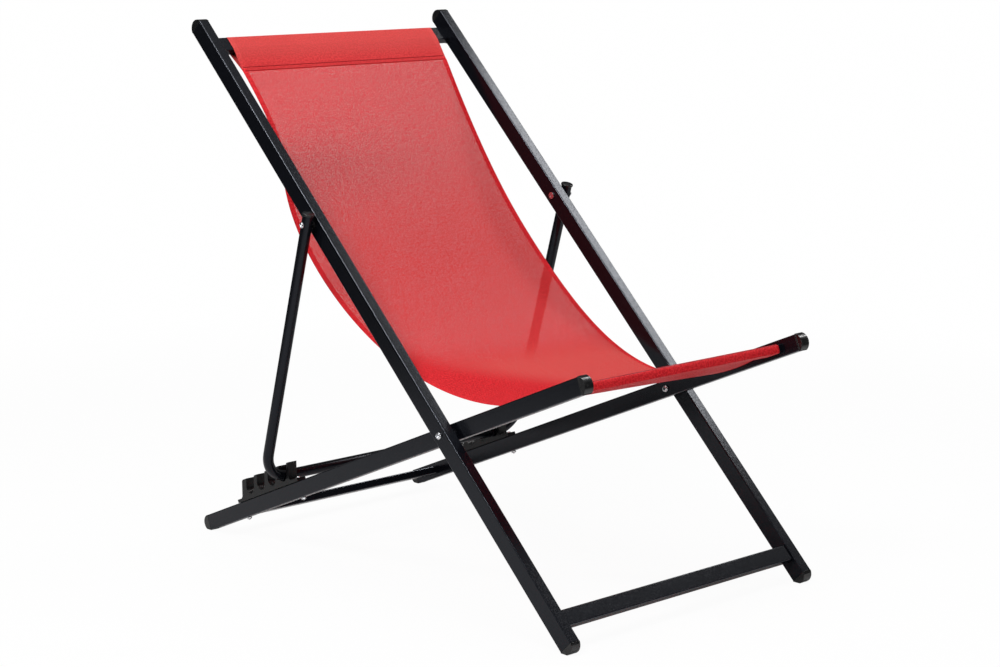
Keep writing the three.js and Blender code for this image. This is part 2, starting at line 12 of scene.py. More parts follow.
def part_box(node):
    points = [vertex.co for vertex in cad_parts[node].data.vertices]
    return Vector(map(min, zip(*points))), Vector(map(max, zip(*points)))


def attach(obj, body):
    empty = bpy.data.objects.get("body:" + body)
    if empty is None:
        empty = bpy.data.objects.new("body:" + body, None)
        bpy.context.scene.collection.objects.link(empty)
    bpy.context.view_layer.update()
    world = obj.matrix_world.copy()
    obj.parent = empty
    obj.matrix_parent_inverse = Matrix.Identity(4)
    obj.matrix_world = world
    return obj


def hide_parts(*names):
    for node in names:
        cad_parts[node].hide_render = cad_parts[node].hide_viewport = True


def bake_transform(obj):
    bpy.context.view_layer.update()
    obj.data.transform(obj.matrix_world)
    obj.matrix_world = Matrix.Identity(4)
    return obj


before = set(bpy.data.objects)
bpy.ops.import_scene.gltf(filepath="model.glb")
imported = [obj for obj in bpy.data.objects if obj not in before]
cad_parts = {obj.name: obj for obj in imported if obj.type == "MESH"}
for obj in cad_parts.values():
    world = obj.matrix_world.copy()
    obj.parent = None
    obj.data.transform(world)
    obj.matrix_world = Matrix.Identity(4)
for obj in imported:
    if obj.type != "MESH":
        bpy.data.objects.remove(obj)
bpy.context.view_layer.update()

LOG = logging.getLogger("deckchair")

MM = 0.001
GAP = 0.3 * MM

Colour = tuple[float, float, float, float]
Material = bpy.types.Material
Piece = bpy.types.Object
Socket = bpy.types.NodeSocket


class Body(Enum):
    """The moving bodies that a piece can ride on."""

    SEAT = "seat_frame"
    BACK = "back_frame"
    PROP = "prop"


class Slot(Enum):
    """The material slots of the record."""

    COAT = "black_coat"
    PLASTIC = "black_plastic"
    ZINC = "zinc_steel"
    CLOTH = "red_mesh"


class Side(Enum):
    """The two halves of the chair, by the sitter's hand, with the sign of their x."""

    RIGHT = -1
    LEFT = 1

    @property
    def word(self) -> str:
        """The suffix of the half's node names."""
        return self.name.lower()


@dataclass(frozen=True)
class Stance:
    """Where the frames stand in the open chair, in metres and radians."""

    pivot_y: float = -190.27046580673837 * MM
    pivot_z: float = 297.73142884531364 * MM
    back_lean: float = radians(44.6)
    seat_lean: float = radians(22.97931900169499)
    prop_pivot_up: float = 441 * MM
    prop_turn: float = radians(15.973097487961805)

    @property
    def back(self) -> Matrix:
        """Back frame's place: local z runs up its rails, local y out of their rear faces."""
        return self._turned(self.back_lean - pi / 2)

    @property
    def seat(self) -> Matrix:
        """Seat frame's place: local y runs rearward on its rails, local z out of their upper faces."""
        return self._turned(-self.seat_lean)

    @property
    def prop(self) -> Matrix:
        """Prop's place: its pivots lie on local x, and local z runs up its legs."""
        pivot = self.back @ Vector((0.0, 0.0, self.prop_pivot_up))
        return Matrix.Translation(pivot) @ Matrix.Rotation(self.prop_turn, 4, "X")

    def _turned(self, angle: float) -> Matrix:
        """Place of a frame that is turned about the cross pivot.

        Args:
            angle: Turn about x, in radians.

        Returns:
            The matrix from the frame's own axes to the chair's.
        """
        return Matrix.Translation((0.0, self.pivot_y, self.pivot_z)) @ Matrix.Rotation(angle, 4, "X")


STANCE = Stance()


class NodeSheet:
    """A material's node tree, filled one node at a time."""

    def __init__(self, name: str) -> None:
        """Starts a material that holds one shader.

        Args:
            name: Name of the material.
        """
        self.material = bpy.data.materials.new(name)
        self.material.use_nodes = True
        self.tree = self.material.node_tree
        self.shader = next(n for n in self.tree.nodes if n.type == "BSDF_PRINCIPLED")

    def add(self, kind: str, **settings: Any) -> bpy.types.Node:
        """Adds a node.

        Args:
            kind: The node's type name.
            settings: Properties of the node to set.

        Returns:
            The new node.
        """
        node = self.tree.nodes.new(kind)
        for key, value in settings.items():
            setattr(node, key, value)
        return node

    def feed(self, socket: Socket, value: Any) -> None:
        """Links an output to a socket, or sets the socket to a number or colour.

        Args:
            socket: The input.
            value: The output, number or colour.
        """
        if isinstance(value, Socket):
            self.tree.links.new(value, socket)
        else:
            socket.default_value = value

    def shade(self, inputs: dict[str, Any]) -> Material:
        """Feeds the shader and hands over the material.

        Args:
            inputs: Outputs, numbers and colours by the name of the shader's socket.

        Returns:
            The finished material.
        """
        for name, value in inputs.items():
            self.feed(self.shader.inputs[name], value)
        return self.material

    def math(self, operation: str, first: Any, second: Any = 0.0) -> Socket:
        """Adds a Math node.

        Args:
            operation: Name of the operation.
            first: First number or output.
            second: Second number or output.

        Returns:
            The node's output.
        """
        node = self.add("ShaderNodeMath", operation=operation)
        for socket, value in zip(node.inputs, (first, second)):
            self.feed(socket, value)
        return node.outputs[0]

    def span(self, value: Any, low: float, high: float, to_low: float, to_high: float) -> Socket:
        """Maps a range of numbers smoothly to another.

        Args:
            value: The output to map.
            low: Start of the range.
            high: End of the range.
            to_low: Result at the start.
            to_high: Result at the end.

        Returns:
            The mapped output.
        """
        node = self.add("ShaderNodeMapRange", interpolation_type="SMOOTHSTEP")
        for socket, part in zip(node.inputs, (value, low, high, to_low, to_high)):
            self.feed(socket, part)
        return node.outputs[0]

    def noise(self, coordinate: Any, scale: float, detail: float = 2.0, roughness: float = 0.5) -> Socket:
        """Adds a noise texture.

        Args:
            coordinate: Where the texture reads its place.
            scale: Noise cells to the metre.
            detail: Finer layers of noise.
            roughness: Strength of the finer layers.

        Returns:
            The noise value.
        """
        node = self.add("ShaderNodeTexNoise")
        self.feed(node.inputs["Vector"], coordinate)
        self.feed(node.inputs["Scale"], scale)
        self.feed(node.inputs["Detail"], detail)
        self.feed(node.inputs["Roughness"], roughness)
        return node.outputs[0]

    def blend(self, factor: Any, low: Any, high: Any) -> Socket:
        """Mixes two colours.

        Args:
            factor: The output that chooses between them.
            low: Colour or output at 0.
            high: Colour or output at 1.

        Returns:
            The mixed colour.
        """
        node = self.add("ShaderNodeMix", data_type="RGBA")
        self.feed(node.inputs[0], factor)
        self.feed(node.inputs[6], low)
        self.feed(node.inputs[7], high)
        return node.outputs[2]

    def bump(self, height: Any, strength: float, distance: float) -> Socket:
        """Adds a Bump node.

        Args:
            height: Output that holds the height.
            strength: How much of the bump shows.
            distance: Height of the bump, in metres.

        Returns:
            The bumped normal.
        """
        node = self.add("ShaderNodeBump")
        self.feed(node.inputs["Strength"], strength)
        self.feed(node.inputs["Distance"], distance)
        self.feed(node.inputs["Height"], height)
        return node.outputs[0]

    def place(self) -> Socket:
        """The object coordinates."""
        return self.add("ShaderNodeTexCoord").outputs["Object"]


@dataclass(frozen=True)
class PowderCoat:
    """Satin black powder coat on the steel tubes. Scales are in noise cells to the metre."""

    name: str = "satin_powder_coat"
    deep: Colour = (0.002, 0.0023, 0.0036, 1.0)
    dusty: Colour = (0.0068, 0.0075, 0.0108, 1.0)
    sheen: Colour = (0.82, 0.87, 1.0, 1.0)
    gloss: tuple[float, float] = (0.18, 0.24)
    cloud_scale: float = 26.0
    speck_scale: float = 620.0
    gloss_scale: float = 320.0
    peel_scale: float = 1500.0
    peel_height: float = 0.2 * MM
    reflectance: float = 0.26

    def material(self) -> Material:
        """The coat's material: fine orange peel and slow changes of shade and gloss."""
        sheet = NodeSheet(self.name)
        place = sheet.place()
        cloud = sheet.noise(place, self.cloud_scale, 4.0, 0.6)
        speck = sheet.span(sheet.noise(place, self.speck_scale), 0.62, 0.78, 0.0, 1.0)
        shade = sheet.math("MULTIPLY", sheet.math("ADD", cloud, speck), 0.5)
        peel = sheet.noise(place, self.peel_scale, 1.0)
        return sheet.shade(
            {
                "Base Color": sheet.blend(shade, self.deep, self.dusty),
                "Roughness": sheet.span(sheet.noise(place, self.gloss_scale), 0.3, 0.7, *self.gloss),
                "Specular IOR Level": self.reflectance,
                "Specular Tint": self.sheen,
                "Normal": sheet.bump(peel, 0.16, self.peel_height),
            }
        )


@dataclass(frozen=True)
class MouldedPlastic:
    """Black moulded plastic of the caps and the racks. Scales are in noise cells to the metre."""

    name: str
    tone: Colour = (0.007, 0.007, 0.0075, 1.0)
    worn: Colour = (0.02, 0.02, 0.021, 1.0)
    gloss: tuple[float, float] = (0.14, 0.24)
    reflectance: float = 0.42
    mark_scale: float = 90.0
    grain_scale: float = 2600.0
    grain_height: float = 0.2 * MM

    def material(self) -> Material:
        """The plastic's material: fine mould grain and faint handling marks."""
        sheet = NodeSheet(self.name)
        place = sheet.place()
        marks = sheet.span(sheet.noise(place, self.mark_scale, 5.0, 0.65), 0.48, 0.72, 0.0, 1.0)
        grain = sheet.noise(place, self.grain_scale, 1.0)
        return sheet.shade(
            {
                "Base Color": sheet.blend(marks, self.tone, self.worn),
                "Roughness": sheet.span(marks, 0.0, 1.0, *self.gloss),
                "Specular IOR Level": self.reflectance,
                "Normal": sheet.bump(grain, 0.15, self.grain_height),
            }
        )


@dataclass(frozen=True)
class ZincPlate:
    """Bright zinc plating of the bolts, screws and nuts. Scales are in noise cells to the metre."""

    bright: Colour = (0.78, 0.79, 0.81, 1.0)
    dull: Colour = (0.52, 0.53, 0.55, 1.0)
    gloss: tuple[float, float] = (0.2, 0.36)
    mottle_scale: float = 420.0
    turning_scale: float = 3200.0
    turning_height: float = 0.1 * MM

    def material(self) -> Material:
        """The plating's material: mottled zinc with fine turning marks."""
        sheet = NodeSheet("bright_zinc")
        place = sheet.place()
        mottle = sheet.span(sheet.noise(place, self.mottle_scale, 3.0), 0.35, 0.7, 0.0, 1.0)
        turning = sheet.noise(place, self.turning_scale, 1.0)
        return sheet.shade(
            {
                "Base Color": sheet.blend(mottle, self.bright, self.dull),
                "Metallic": 1.0,
                "Roughness": sheet.span(mottle, 0.0, 1.0, *self.gloss),
                "Normal": sheet.bump(turning, 0.1, self.turning_height),
            }
        )


@dataclass(frozen=True)
class SlingMesh:
    """Red coated mesh: plain weave of round yarns with small open corners between them.

    The cloth's own UV map is in metres: u across the chair, v along the cloth. The size of an opening and
    what draws it together are shares of the weave's pitch.
    """

    yarn: Colour = (0.50, 0.005, 0.011, 1.0)
    faded: Colour = (0.86, 0.032, 0.040, 1.0)
    # Tone of the painted shade in the dips of the weave.
    shaded: Colour = (0.40, 0.004, 0.009, 1.0)
    # Pale pink of the painted sheen on the open cloth and the top hem.
    bleached: Colour = (0.66, 0.10, 0.088, 1.0)
    gloss: tuple[float, float] = (0.5, 0.62)
    pitch: float = 1.9 * MM
    opening: tuple[float, float] = (0.1449, 0.2001)
    yarn_height: float = 0.4 * MM
    half_width: float = 238 * MM
    selvage: float = 12 * MM
    slub_scale: tuple[float, float, float] = (600.0, 14.0, 1.0)
    cloud_scale: float = 7.0
    grain_scale: float = 290.0
    grain_draw: float = 0.031
    tight_at: float = 0.55
    tight_reach: float = 0.28
    tight_draw: tuple[float, float] = (0.023, -0.008)
    # Painted shade: how far from the middle of the back, and by how much, the fading is taken down so that
    # this stretch is darker.
    shelter_reach: float = 0.3
    shelter: tuple[float, float] = (0.32, -0.03)
    seat: tuple[float, float] = (0.77, 0.88)
    hollow: tuple[float, float] = (0.88, 1.0)
    hollow_slant: float = 0.8
    seat_draw: float = 0.1
    hems: tuple[float, float] = (0.156, 1.17)
    # Length over which the painted sheen of the top hem eases off towards its seam.
    hem_fading: float = 0.04
    slub_fade: float = 0.14
    cloud_fade: float = 0.06
    yarn_fade: float = 0.15
    grain_fade: tuple[float, float] = (-0.1, 0.5)
    # Painted sheen: its patchiness, its share on the back and in the seat, and its share on the top hem.
    rub_grain: tuple[float, float] = (1.25, 0.75)
    rub: tuple[float, float] = (0.2, 0.75)
    hem_bleach: tuple[float, float] = (0.6, 0.25)
    # Painted shade in the dips of the weave: the yarn heights that it spans and its strength.
    depths: tuple[float, float] = (0.15, 0.7)
    depth_shade: float = 0.55
    reflectance: float = 0.09
    fuzz: float = 0.025

    def material(self) -> Material:
        """The cloth's material: tight and with painted shade in the middle of the back, nearly closed in the
        seat, with a painted sheen that is faint on the back and strongest in the seat and on the top hem, and
        with painted shade in the dips of the weave.
        """
        sheet = NodeSheet("red_sling_mesh")
        uv = sheet.add("ShaderNodeUVMap", uv_map="cloth").outputs[0]
        split = sheet.add("ShaderNodeSeparateXYZ")
        sheet.feed(split.inputs[0], uv)
        across, along = split.outputs[0], split.outputs[1]
        warp_cell = sheet.math("DIVIDE", across, self.pitch)
        weft_cell = sheet.math("DIVIDE", along, self.pitch)
        warp = sheet.math("PINGPONG", warp_cell, 0.5)
        weft = sheet.math("PINGPONG", weft_cell, 0.5)
        count = sheet.math("ADD", sheet.math("FLOOR", warp_cell), sheet.math("FLOOR", weft_cell))
        over = sheet.math("MODULO", count, 2.0)
        under = sheet.math("SUBTRACT", 1.0, over)
        height = sheet.math("ADD", self._crown(sheet, warp, over), self._crown(sheet, weft, under))
        edge = sheet.math("SUBTRACT", self.half_width, sheet.math("ABSOLUTE", across))
        inside = sheet.span(edge, self.selvage * 0.8, self.selvage, 0.0, 1.0)
        below = sheet.math("GREATER_THAN", along, self.hems[0])
        single = sheet.math("MULTIPLY", below, sheet.math("LESS_THAN", along, self.hems[1]))
        open_weave = sheet.math("MULTIPLY", inside, single)
        middle = sheet.math("ABSOLUTE", sheet.math("SUBTRACT", along, self.tight_at))
        grain = sheet.span(sheet.noise(uv, self.grain_scale, 1.0, 0.6), 0.4, 0.6, 0.0, 1.0)
        seat = sheet.span(along, *self.seat, 0.0, 1.0)
        deepest = sheet.math("SUBTRACT", along, sheet.math("MULTIPLY", across, self.hollow_slant))
        hollow = sheet.span(deepest, *self.hollow, 0.0, 1.0)
        drawn = sheet.math(
            "ADD",
            sheet.span(middle, 0.0, self.tight_reach, *self.tight_draw),
            sheet.span(grain, 0.0, 1.0, -self.grain_draw, self.grain_draw),
        )
        sunken = sheet.math("MULTIPLY", sheet.math("MAXIMUM", seat, hollow), self.seat_draw)
        nearest = sheet.math("ADD", sheet.math("MAXIMUM", warp, weft), sheet.math("ADD", drawn, sunken))
        hole = sheet.math("MULTIPLY", sheet.span(nearest, *self.opening, 1.0, 0.0), open_weave)
        streak = self._slubs(sheet, uv)
        # Painted shade: the random fading is taken down in the middle of the back, which pulls it towards the
        # darker yarn tone. The openings are also drawn smaller there.
        fade_and_shade = sheet.math(
            "SUBTRACT",
            self._fading(sheet, streak, grain, ((warp_cell, over), (weft_cell, under))),
            sheet.span(middle, 0.0, self.shelter_reach, *self.shelter),
        )
        dyed_and_shaded = sheet.blend(fade_and_shade, self.yarn, self.faded)
        # Painted sheen: the single open layer outside the hollow is blended in patches towards a pale pink,
        # about a fifth of the way on the back and up to three quarters in the seat. The top hem gets it too,
        # easing off at its seam.
        sheen_area = sheet.math("MULTIPLY", open_weave, sheet.math("SUBTRACT", 1.0, hollow))
        patchy_sheen = sheet.math("MULTIPLY", sheen_area, sheet.span(grain, 0.0, 1.0, *self.rub_grain))
        seat_sheen_share = sheet.math("MULTIPLY", patchy_sheen, sheet.span(seat, 0.0, 1.0, *self.rub))
        hem = sheet.span(along, self.hems[0] - self.hem_fading, self.hems[0], *self.hem_bleach)
        lit = sheet.blend(
            below, sheet.blend(hem, dyed_and_shaded, self.bleached), sheet.blend(seat_sheen_share, dyed_and_shaded, self.bleached)
        )
        # Painted shade: where a yarn dips under its neighbours it is blended towards the shaded tone, except
        # in the selvage.
        deep = sheet.math("MULTIPLY", sheet.span(height, *self.depths, self.depth_shade, 0.0), inside)
        return sheet.shade(
            {
                "Base Color": sheet.blend(deep, lit, self.shaded),
                "Alpha": sheet.math("SUBTRACT", 1.0, hole),
                "Roughness": sheet.span(streak, 0.0, 1.0, *self.gloss),
                "Specular IOR Level": self.reflectance,
                "Sheen Weight": self.fuzz,
                "Sheen Roughness": 0.5,
                "Normal": sheet.bump(height, 0.5, self.yarn_height),
            }
        )

    @staticmethod
    def _crown(sheet: NodeSheet, yarn: Any, shows: Any) -> Socket:
        """Height of the yarns of one direction, where they lie on top."""
        return sheet.math("MULTIPLY", shows, sheet.math("SINE", sheet.math("MULTIPLY", yarn, pi)))

    def _slubs(self, sheet: NodeSheet, uv: Socket) -> Socket:
        """Thick and thin stretches of the yarns that run along the cloth.

        Args:
            sheet: The material.
            uv: The cloth's own coordinates.

        Returns:
            Streaks from 0 to 1.
        """
        stretch = sheet.add("ShaderNodeMapping")
        sheet.feed(stretch.inputs["Vector"], uv)
        sheet.feed(stretch.inputs["Scale"], self.slub_scale)
        return sheet.span(sheet.noise(stretch.outputs[0], 1.0), 0.3, 0.75, 0.0, 1.0)

    def _fading(self, sheet: NodeSheet, streak: Any, grain: Any, yarns: Sequence[tuple[Any, Any]]) -> Socket:
        """How far the dye has faded, before the painted shade of the middle of the back is taken off.

        Args:
            sheet: The material.
            streak: The slubs.
            grain: The cloth's grain.
            yarns: For each direction, the number of the yarn and where it lies on top.

        Returns:
            The fading, about 0 to 1.
        """
        cloud = sheet.span(sheet.noise(sheet.place(), self.cloud_scale, 3.0), 0.35, 0.7, 0.0, 1.0)
        tones = []
        for cell, shows in yarns:
            tone = sheet.add("ShaderNodeTexWhiteNoise", noise_dimensions="1D")
            sheet.feed(tone.inputs["W"], sheet.math("FLOOR", cell))
            tones.append(sheet.math("MULTIPLY", tone.outputs[0], shows))
        slubs = sheet.math("MULTIPLY", streak, self.slub_fade)
        broad = sheet.math("ADD", slubs, sheet.math("MULTIPLY", cloud, self.cloud_fade))
        own = sheet.math("MULTIPLY", sheet.math("ADD", *tones), self.yarn_fade)
        fine = sheet.math("ADD", own, sheet.span(grain, 0.0, 1.0, *self.grain_fade))
        return sheet.math("ADD", broad, fine)


@dataclass(frozen=True)
class SewingThread:
    """Twisted red thread of the hem seams."""

    tone: Colour = (0.10, 0.0015, 0.004, 1.0)
    light: Colour = (0.17, 0.003, 0.006, 1.0)
    gloss: tuple[float, float] = (0.45, 0.6)
    twist_scale: float = 900.0
    ply_height: float = 0.2 * MM

    def material(self) -> Material:
        """The thread's material, with the twist of its plies."""
        sheet = NodeSheet("twisted_red_thread")
        twist = sheet.add("ShaderNodeTexWave", wave_type="BANDS", bands_direction="DIAGONAL")
        sheet.feed(twist.inputs["Vector"], sheet.place())
        sheet.feed(twist.inputs["Scale"], self.twist_scale)
        sheet.feed(twist.inputs["Distortion"], 1.0)
        plies = twist.outputs[1]
        return sheet.shade(
            {
                "Base Color": sheet.blend(plies, self.tone, self.light),
                "Roughness": sheet.span(plies, 0.0, 1.0, *self.gloss),
                "Specular IOR Level": 0.08,
                "Normal": sheet.bump(plies, 0.4, self.ply_height),
            }
        )


class Finishes:
    """The chair's materials, each made once."""

    def __init__(self) -> None:
        """Makes the materials."""
        self.coat = PowderCoat().material()
        self.coat_edge = PowderCoat("tube_edge_coat", reflectance=0.75).material()
        self.cap = MouldedPlastic("gloss_cap_plastic").material()
        self.rack = MouldedPlastic(
            "rack_plastic", (0.0035, 0.0037, 0.0044, 1.0), (0.009, 0.009, 0.01, 1.0), (0.38, 0.5), 0.3
        ).material()
        self.zinc = ZincPlate().material()
        self.cloth = SlingMesh().material()
        self.thread = SewingThread().material()


class Bench:
    """Modelling moves on the active object, as made by hand in edit mode."""

    @staticmethod
    def clear() -> None:
        """Leaves nothing selected."""
        if bpy.context.object is not None and bpy.context.object.mode != "OBJECT":
            bpy.ops.object.mode_set(mode="OBJECT")
        bpy.ops.object.select_all(action="DESELECT")

    @staticmethod
    def named(name: str) -> Piece:
        """Names the new active object and its mesh.

        Args:
            name: The name.

        Returns:
            The object.
        """
        piece = bpy.context.object
        piece.name = name
        piece.data.name = name
        return piece

    @staticmethod
    def block(name: str, size: Sequence[float], centre: Sequence[float]) -> Piece:
        """Adds a block.

        Args:
            name: Name of the piece.
            size: Lengths of its edges.
            centre: Middle of the block.

        Returns:
            The new object, with its place in its mesh.
        """
        Bench.clear()
        bpy.ops.mesh.primitive_cube_add(size=1.0)
        piece = Bench.named(name)
        bpy.ops.object.mode_set(mode="EDIT")
        bpy.ops.mesh.select_all(action="SELECT")
        bpy.ops.transform.resize(value=size, center_override=(0.0, 0.0, 0.0))
        bpy.ops.transform.translate(value=centre)
        bpy.ops.object.mode_set(mode="OBJECT")
        return piece

    @staticmethod
    def drum(
        name: str, radius: float, length: float, axis: str, centre: Sequence[float], sides: int = 48
    ) -> Piece:
        """Adds a round drum.

        Args:
            name: Name of the piece.
            radius: Radius of the drum.
            length: Length along its axis.
            axis: X or Z.
            centre: Middle of the drum.
            sides: Number of side faces.

        Returns:
            The new object, with its place in its mesh.
        """
        Bench.clear()
        turn = (0.0, pi / 2, 0.0) if axis == "X" else (0.0, 0.0, 0.0)
        bpy.ops.mesh.primitive_cylinder_add(
            vertices=sides, radius=radius, depth=length, location=centre, rotation=turn
        )
        piece = Bench.named(name)
        bpy.ops.object.transform_apply(location=True, rotation=True, scale=True)
        return piece

    @staticmethod
    def pick(piece: Piece, kind: str, test: Callable[[Any], bool]) -> int:
        """Selects only some edges, faces or points of a piece.

        Args:
            piece: The object, in object mode.
            kind: EDGE, FACE or VERT.
            test: Tells whether an element is wanted.

        Returns:
            How many were selected.
        """
        mesh = piece.data
        for group in (mesh.vertices, mesh.edges, mesh.polygons):
            group.foreach_set("select", np.zeros(len(group), dtype=bool))
        chosen = {"EDGE": mesh.edges, "FACE": mesh.polygons, "VERT": mesh.vertices}[kind]
        count = 0
        for element in chosen:
            if test(element):
                element.select = True
                count += 1
        bpy.context.view_layer.objects.active = piece
        bpy.context.tool_settings.mesh_select_mode = (kind == "VERT", kind == "EDGE", kind == "FACE")
        return count

    @staticmethod
    def run(piece: Piece, *moves: Callable[[], Any]) -> None:
        """Runs edit-mode operators on what is selected in a piece.

        Args:
            piece: The object.
            moves: The operators, in order.
        """
        bpy.context.view_layer.objects.active = piece
        piece.select_set(True)
        bpy.ops.object.mode_set(mode="EDIT")
        for move in moves:
            move()
        bpy.ops.object.mode_set(mode="OBJECT")

    @staticmethod
    def along(axis: int) -> Callable[[Vector, Vector], bool]:
        """A test for edges that run along an axis."""
        return lambda middle, way: abs(way[axis]) > 0.9

    @staticmethod
    def across(axis: int) -> Callable[[Vector, Vector], bool]:
        """A test for edges that run across an axis."""
        return lambda middle, way: abs(way[axis]) < 0.1

    @staticmethod
    def round_edges(
        piece: Piece,
        radius: float,
        segments: int,
        test: Callable[[Vector, Vector], bool],
    ) -> None:
        """Bevels the edges that a test chooses.

        Args:
            piece: The object.
            radius: Width of the bevel.
            segments: Faces round the bevel.
            test: Gets an edge's middle and direction.
        """
        points = [v.co.copy() for v in piece.data.vertices]

        def wanted(edge: bpy.types.MeshEdge) -> bool:
            """Whether an edge is to be rounded."""
            start, end = (points[i] for i in edge.vertices)
            return test((start + end) / 2, (end - start).normalized())

        if Bench.pick(piece, "EDGE", wanted):
            Bench.run(
                piece,
                lambda: bpy.ops.mesh.bevel(
                    offset=radius, offset_type="OFFSET", segments=segments, profile=0.5, affect="EDGES"
                ),
            )

    @staticmethod
    def pull(*way: float) -> None:
        """Extrudes what is selected along a way, in edit mode."""
        bpy.ops.mesh.extrude_region_move(TRANSFORM_OT_translate={"value": way})

    @staticmethod
    def apply(piece: Piece, kind: str, **settings: Any) -> None:
        """Adds a modifier and applies it.

        Args:
            piece: The object.
            kind: The modifier's type name.
            settings: Properties of the modifier to set.
        """
        modifier = piece.modifiers.new(kind.lower(), kind)
        for key, value in settings.items():
            setattr(modifier, key, value)
        bpy.context.view_layer.objects.active = piece
        bpy.ops.object.modifier_apply(modifier=modifier.name)

    @staticmethod
    def mark(piece: Piece, name: str, test: Callable[[bpy.types.MeshPolygon], bool]) -> None:
        """Writes 1 to a face attribute where a test holds, and 0 elsewhere."""
        layer = piece.data.attributes.new(name, "FLOAT", "FACE")
        layer.data.foreach_set("value", [float(test(face)) for face in piece.data.polygons])

    @staticmethod
    def cut(piece: Piece, point: Sequence[float], keep: Sequence[float]) -> None:
        """Cuts a piece by a plane and closes the cut.

        Args:
            piece: The object.
            point: A point of the plane.
            keep: Direction of the side that stays.
        """
        Bench.pick(piece, "FACE", lambda face: True)
        Bench.run(
            piece,
            lambda: bpy.ops.mesh.bisect(plane_co=point, plane_no=keep, use_fill=True, clear_inner=True),
        )

    @staticmethod
    def soften(piece: Piece, width: float, segments: int = 2, angle: float = 32.0) -> None:
        """Rounds all sharp edges of a piece with an applied Bevel modifier.

        Args:
            piece: The object.
            width: Width of the rounding.
            segments: Faces round it.
            angle: Least angle of an edge that is rounded, in degrees.
        """
        Bench.apply(
            piece,
            "BEVEL",
            width=width,
            segments=segments,
            limit_method="ANGLE",
            angle_limit=radians(angle),
            use_clamp_overlap=True,
        )

    @staticmethod
    def joined(name: str, pieces: Sequence[Piece]) -> Piece:
        """Joins objects into one.

        Args:
            name: Name of the joined piece.
            pieces: The objects.

        Returns:
            The joined object.
        """
        Bench.clear()
        for piece in pieces:
            piece.select_set(True)
        bpy.context.view_layer.objects.active = pieces[0]
        bpy.ops.object.join()
        return Bench.named(name)

    @staticmethod
    def copy(piece: Piece, name: str) -> Piece:
        """Copies a piece with its own mesh.

        Args:
            piece: The model to copy.
            name: Name of the copy.

        Returns:
            The copy.
        """
        twin = bpy.data.objects.new(name, piece.data.copy())
        twin.data.name = name
        bpy.context.scene.collection.objects.link(twin)
        return twin

    @staticmethod
    def settle(piece: Piece, place: Matrix, smooth: float = 40.0) -> Piece:
        """Puts a finished mesh in its place in the chair and shades its flat faces flat.

        Args:
            piece: The object.
            place: Matrix from the piece's own axes to the chair's.
            smooth: Least angle of an edge that stays sharp, in degrees.

        Returns:
            The same object.
        """
        Bench.clear()
        piece.select_set(True)
        bpy.context.view_layer.objects.active = piece
        piece.matrix_world = place
        bpy.ops.object.transform_apply(location=True, rotation=True, scale=True)
        bpy.ops.object.shade_smooth_by_angle(angle=radians(smooth), keep_sharp_edges=False)
        Bench.apply(piece, "WEIGHTED_NORMAL", keep_sharp=True)
        return piece


class Assembly:
    """What every sub-assembly does with a finished piece."""

    def __init__(self, finishes: Finishes) -> None:
        """Keeps the materials at hand."""
        self.finishes = finishes

    def dress(
        self,
        piece: Piece,
        finish: Material,
        slot: Slot,
        body: Optional[Body],
        nodes: Sequence[str] = (),
    ) -> None:
        """Gives a piece its material and its body, and reports it.

        Args:
            piece: The finished object.
            finish: Its material.
            slot: The record's slot of that material; not used.
            body: The body it rides on, or None where it rides on no body.
            nodes: The solids that it stands for.
        """
        piece.data.materials.clear()
        piece.data.materials.append(finish)
        if TubeWork.ROUNDING in piece.data.attributes:
            self._line_edges(piece)
        if body is not None:
            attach(piece, body.value)
        if nodes:
            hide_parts(*nodes)
        LOG.info("%s: %d faces", piece.name, len(piece.data.polygons))

    def coat(self, piece: Piece, place: Matrix, body: Body, *nodes: str) -> None:
        """Settles a tube or a weld in its place and coats it."""
        self.dress(Bench.settle(piece, place), self.finishes.coat, Slot.COAT, body, nodes)

    def plug(self, piece: Piece, place: Matrix, body: Body, *nodes: str) -> None:
        """Settles a plastic cap or spacer in its place."""
        self.dress(Bench.settle(piece, place), self.finishes.cap, Slot.PLASTIC, body, nodes)

    def plate(self, piece: Piece, place: Matrix, body: Body, *nodes: str) -> None:
        """Settles a zinc-plated fastener in its place."""
        self.dress(Bench.settle(piece, place), self.finishes.zinc, Slot.ZINC, body, nodes)

    def _line_edges(self, piece: Piece) -> None:
        """Gives the rounded long edges of a tube the glossier coat.

        Args:
            piece: A tube whose rounded faces are marked.
        """
        piece.data.materials.append(self.finishes.coat_edge)
        marks = [int(mark.value) for mark in piece.data.attributes[TubeWork.ROUNDING].data]
        piece.data.polygons.foreach_set("material_index", marks)
        piece.data.attributes.remove(piece.data.attributes[TubeWork.ROUNDING])


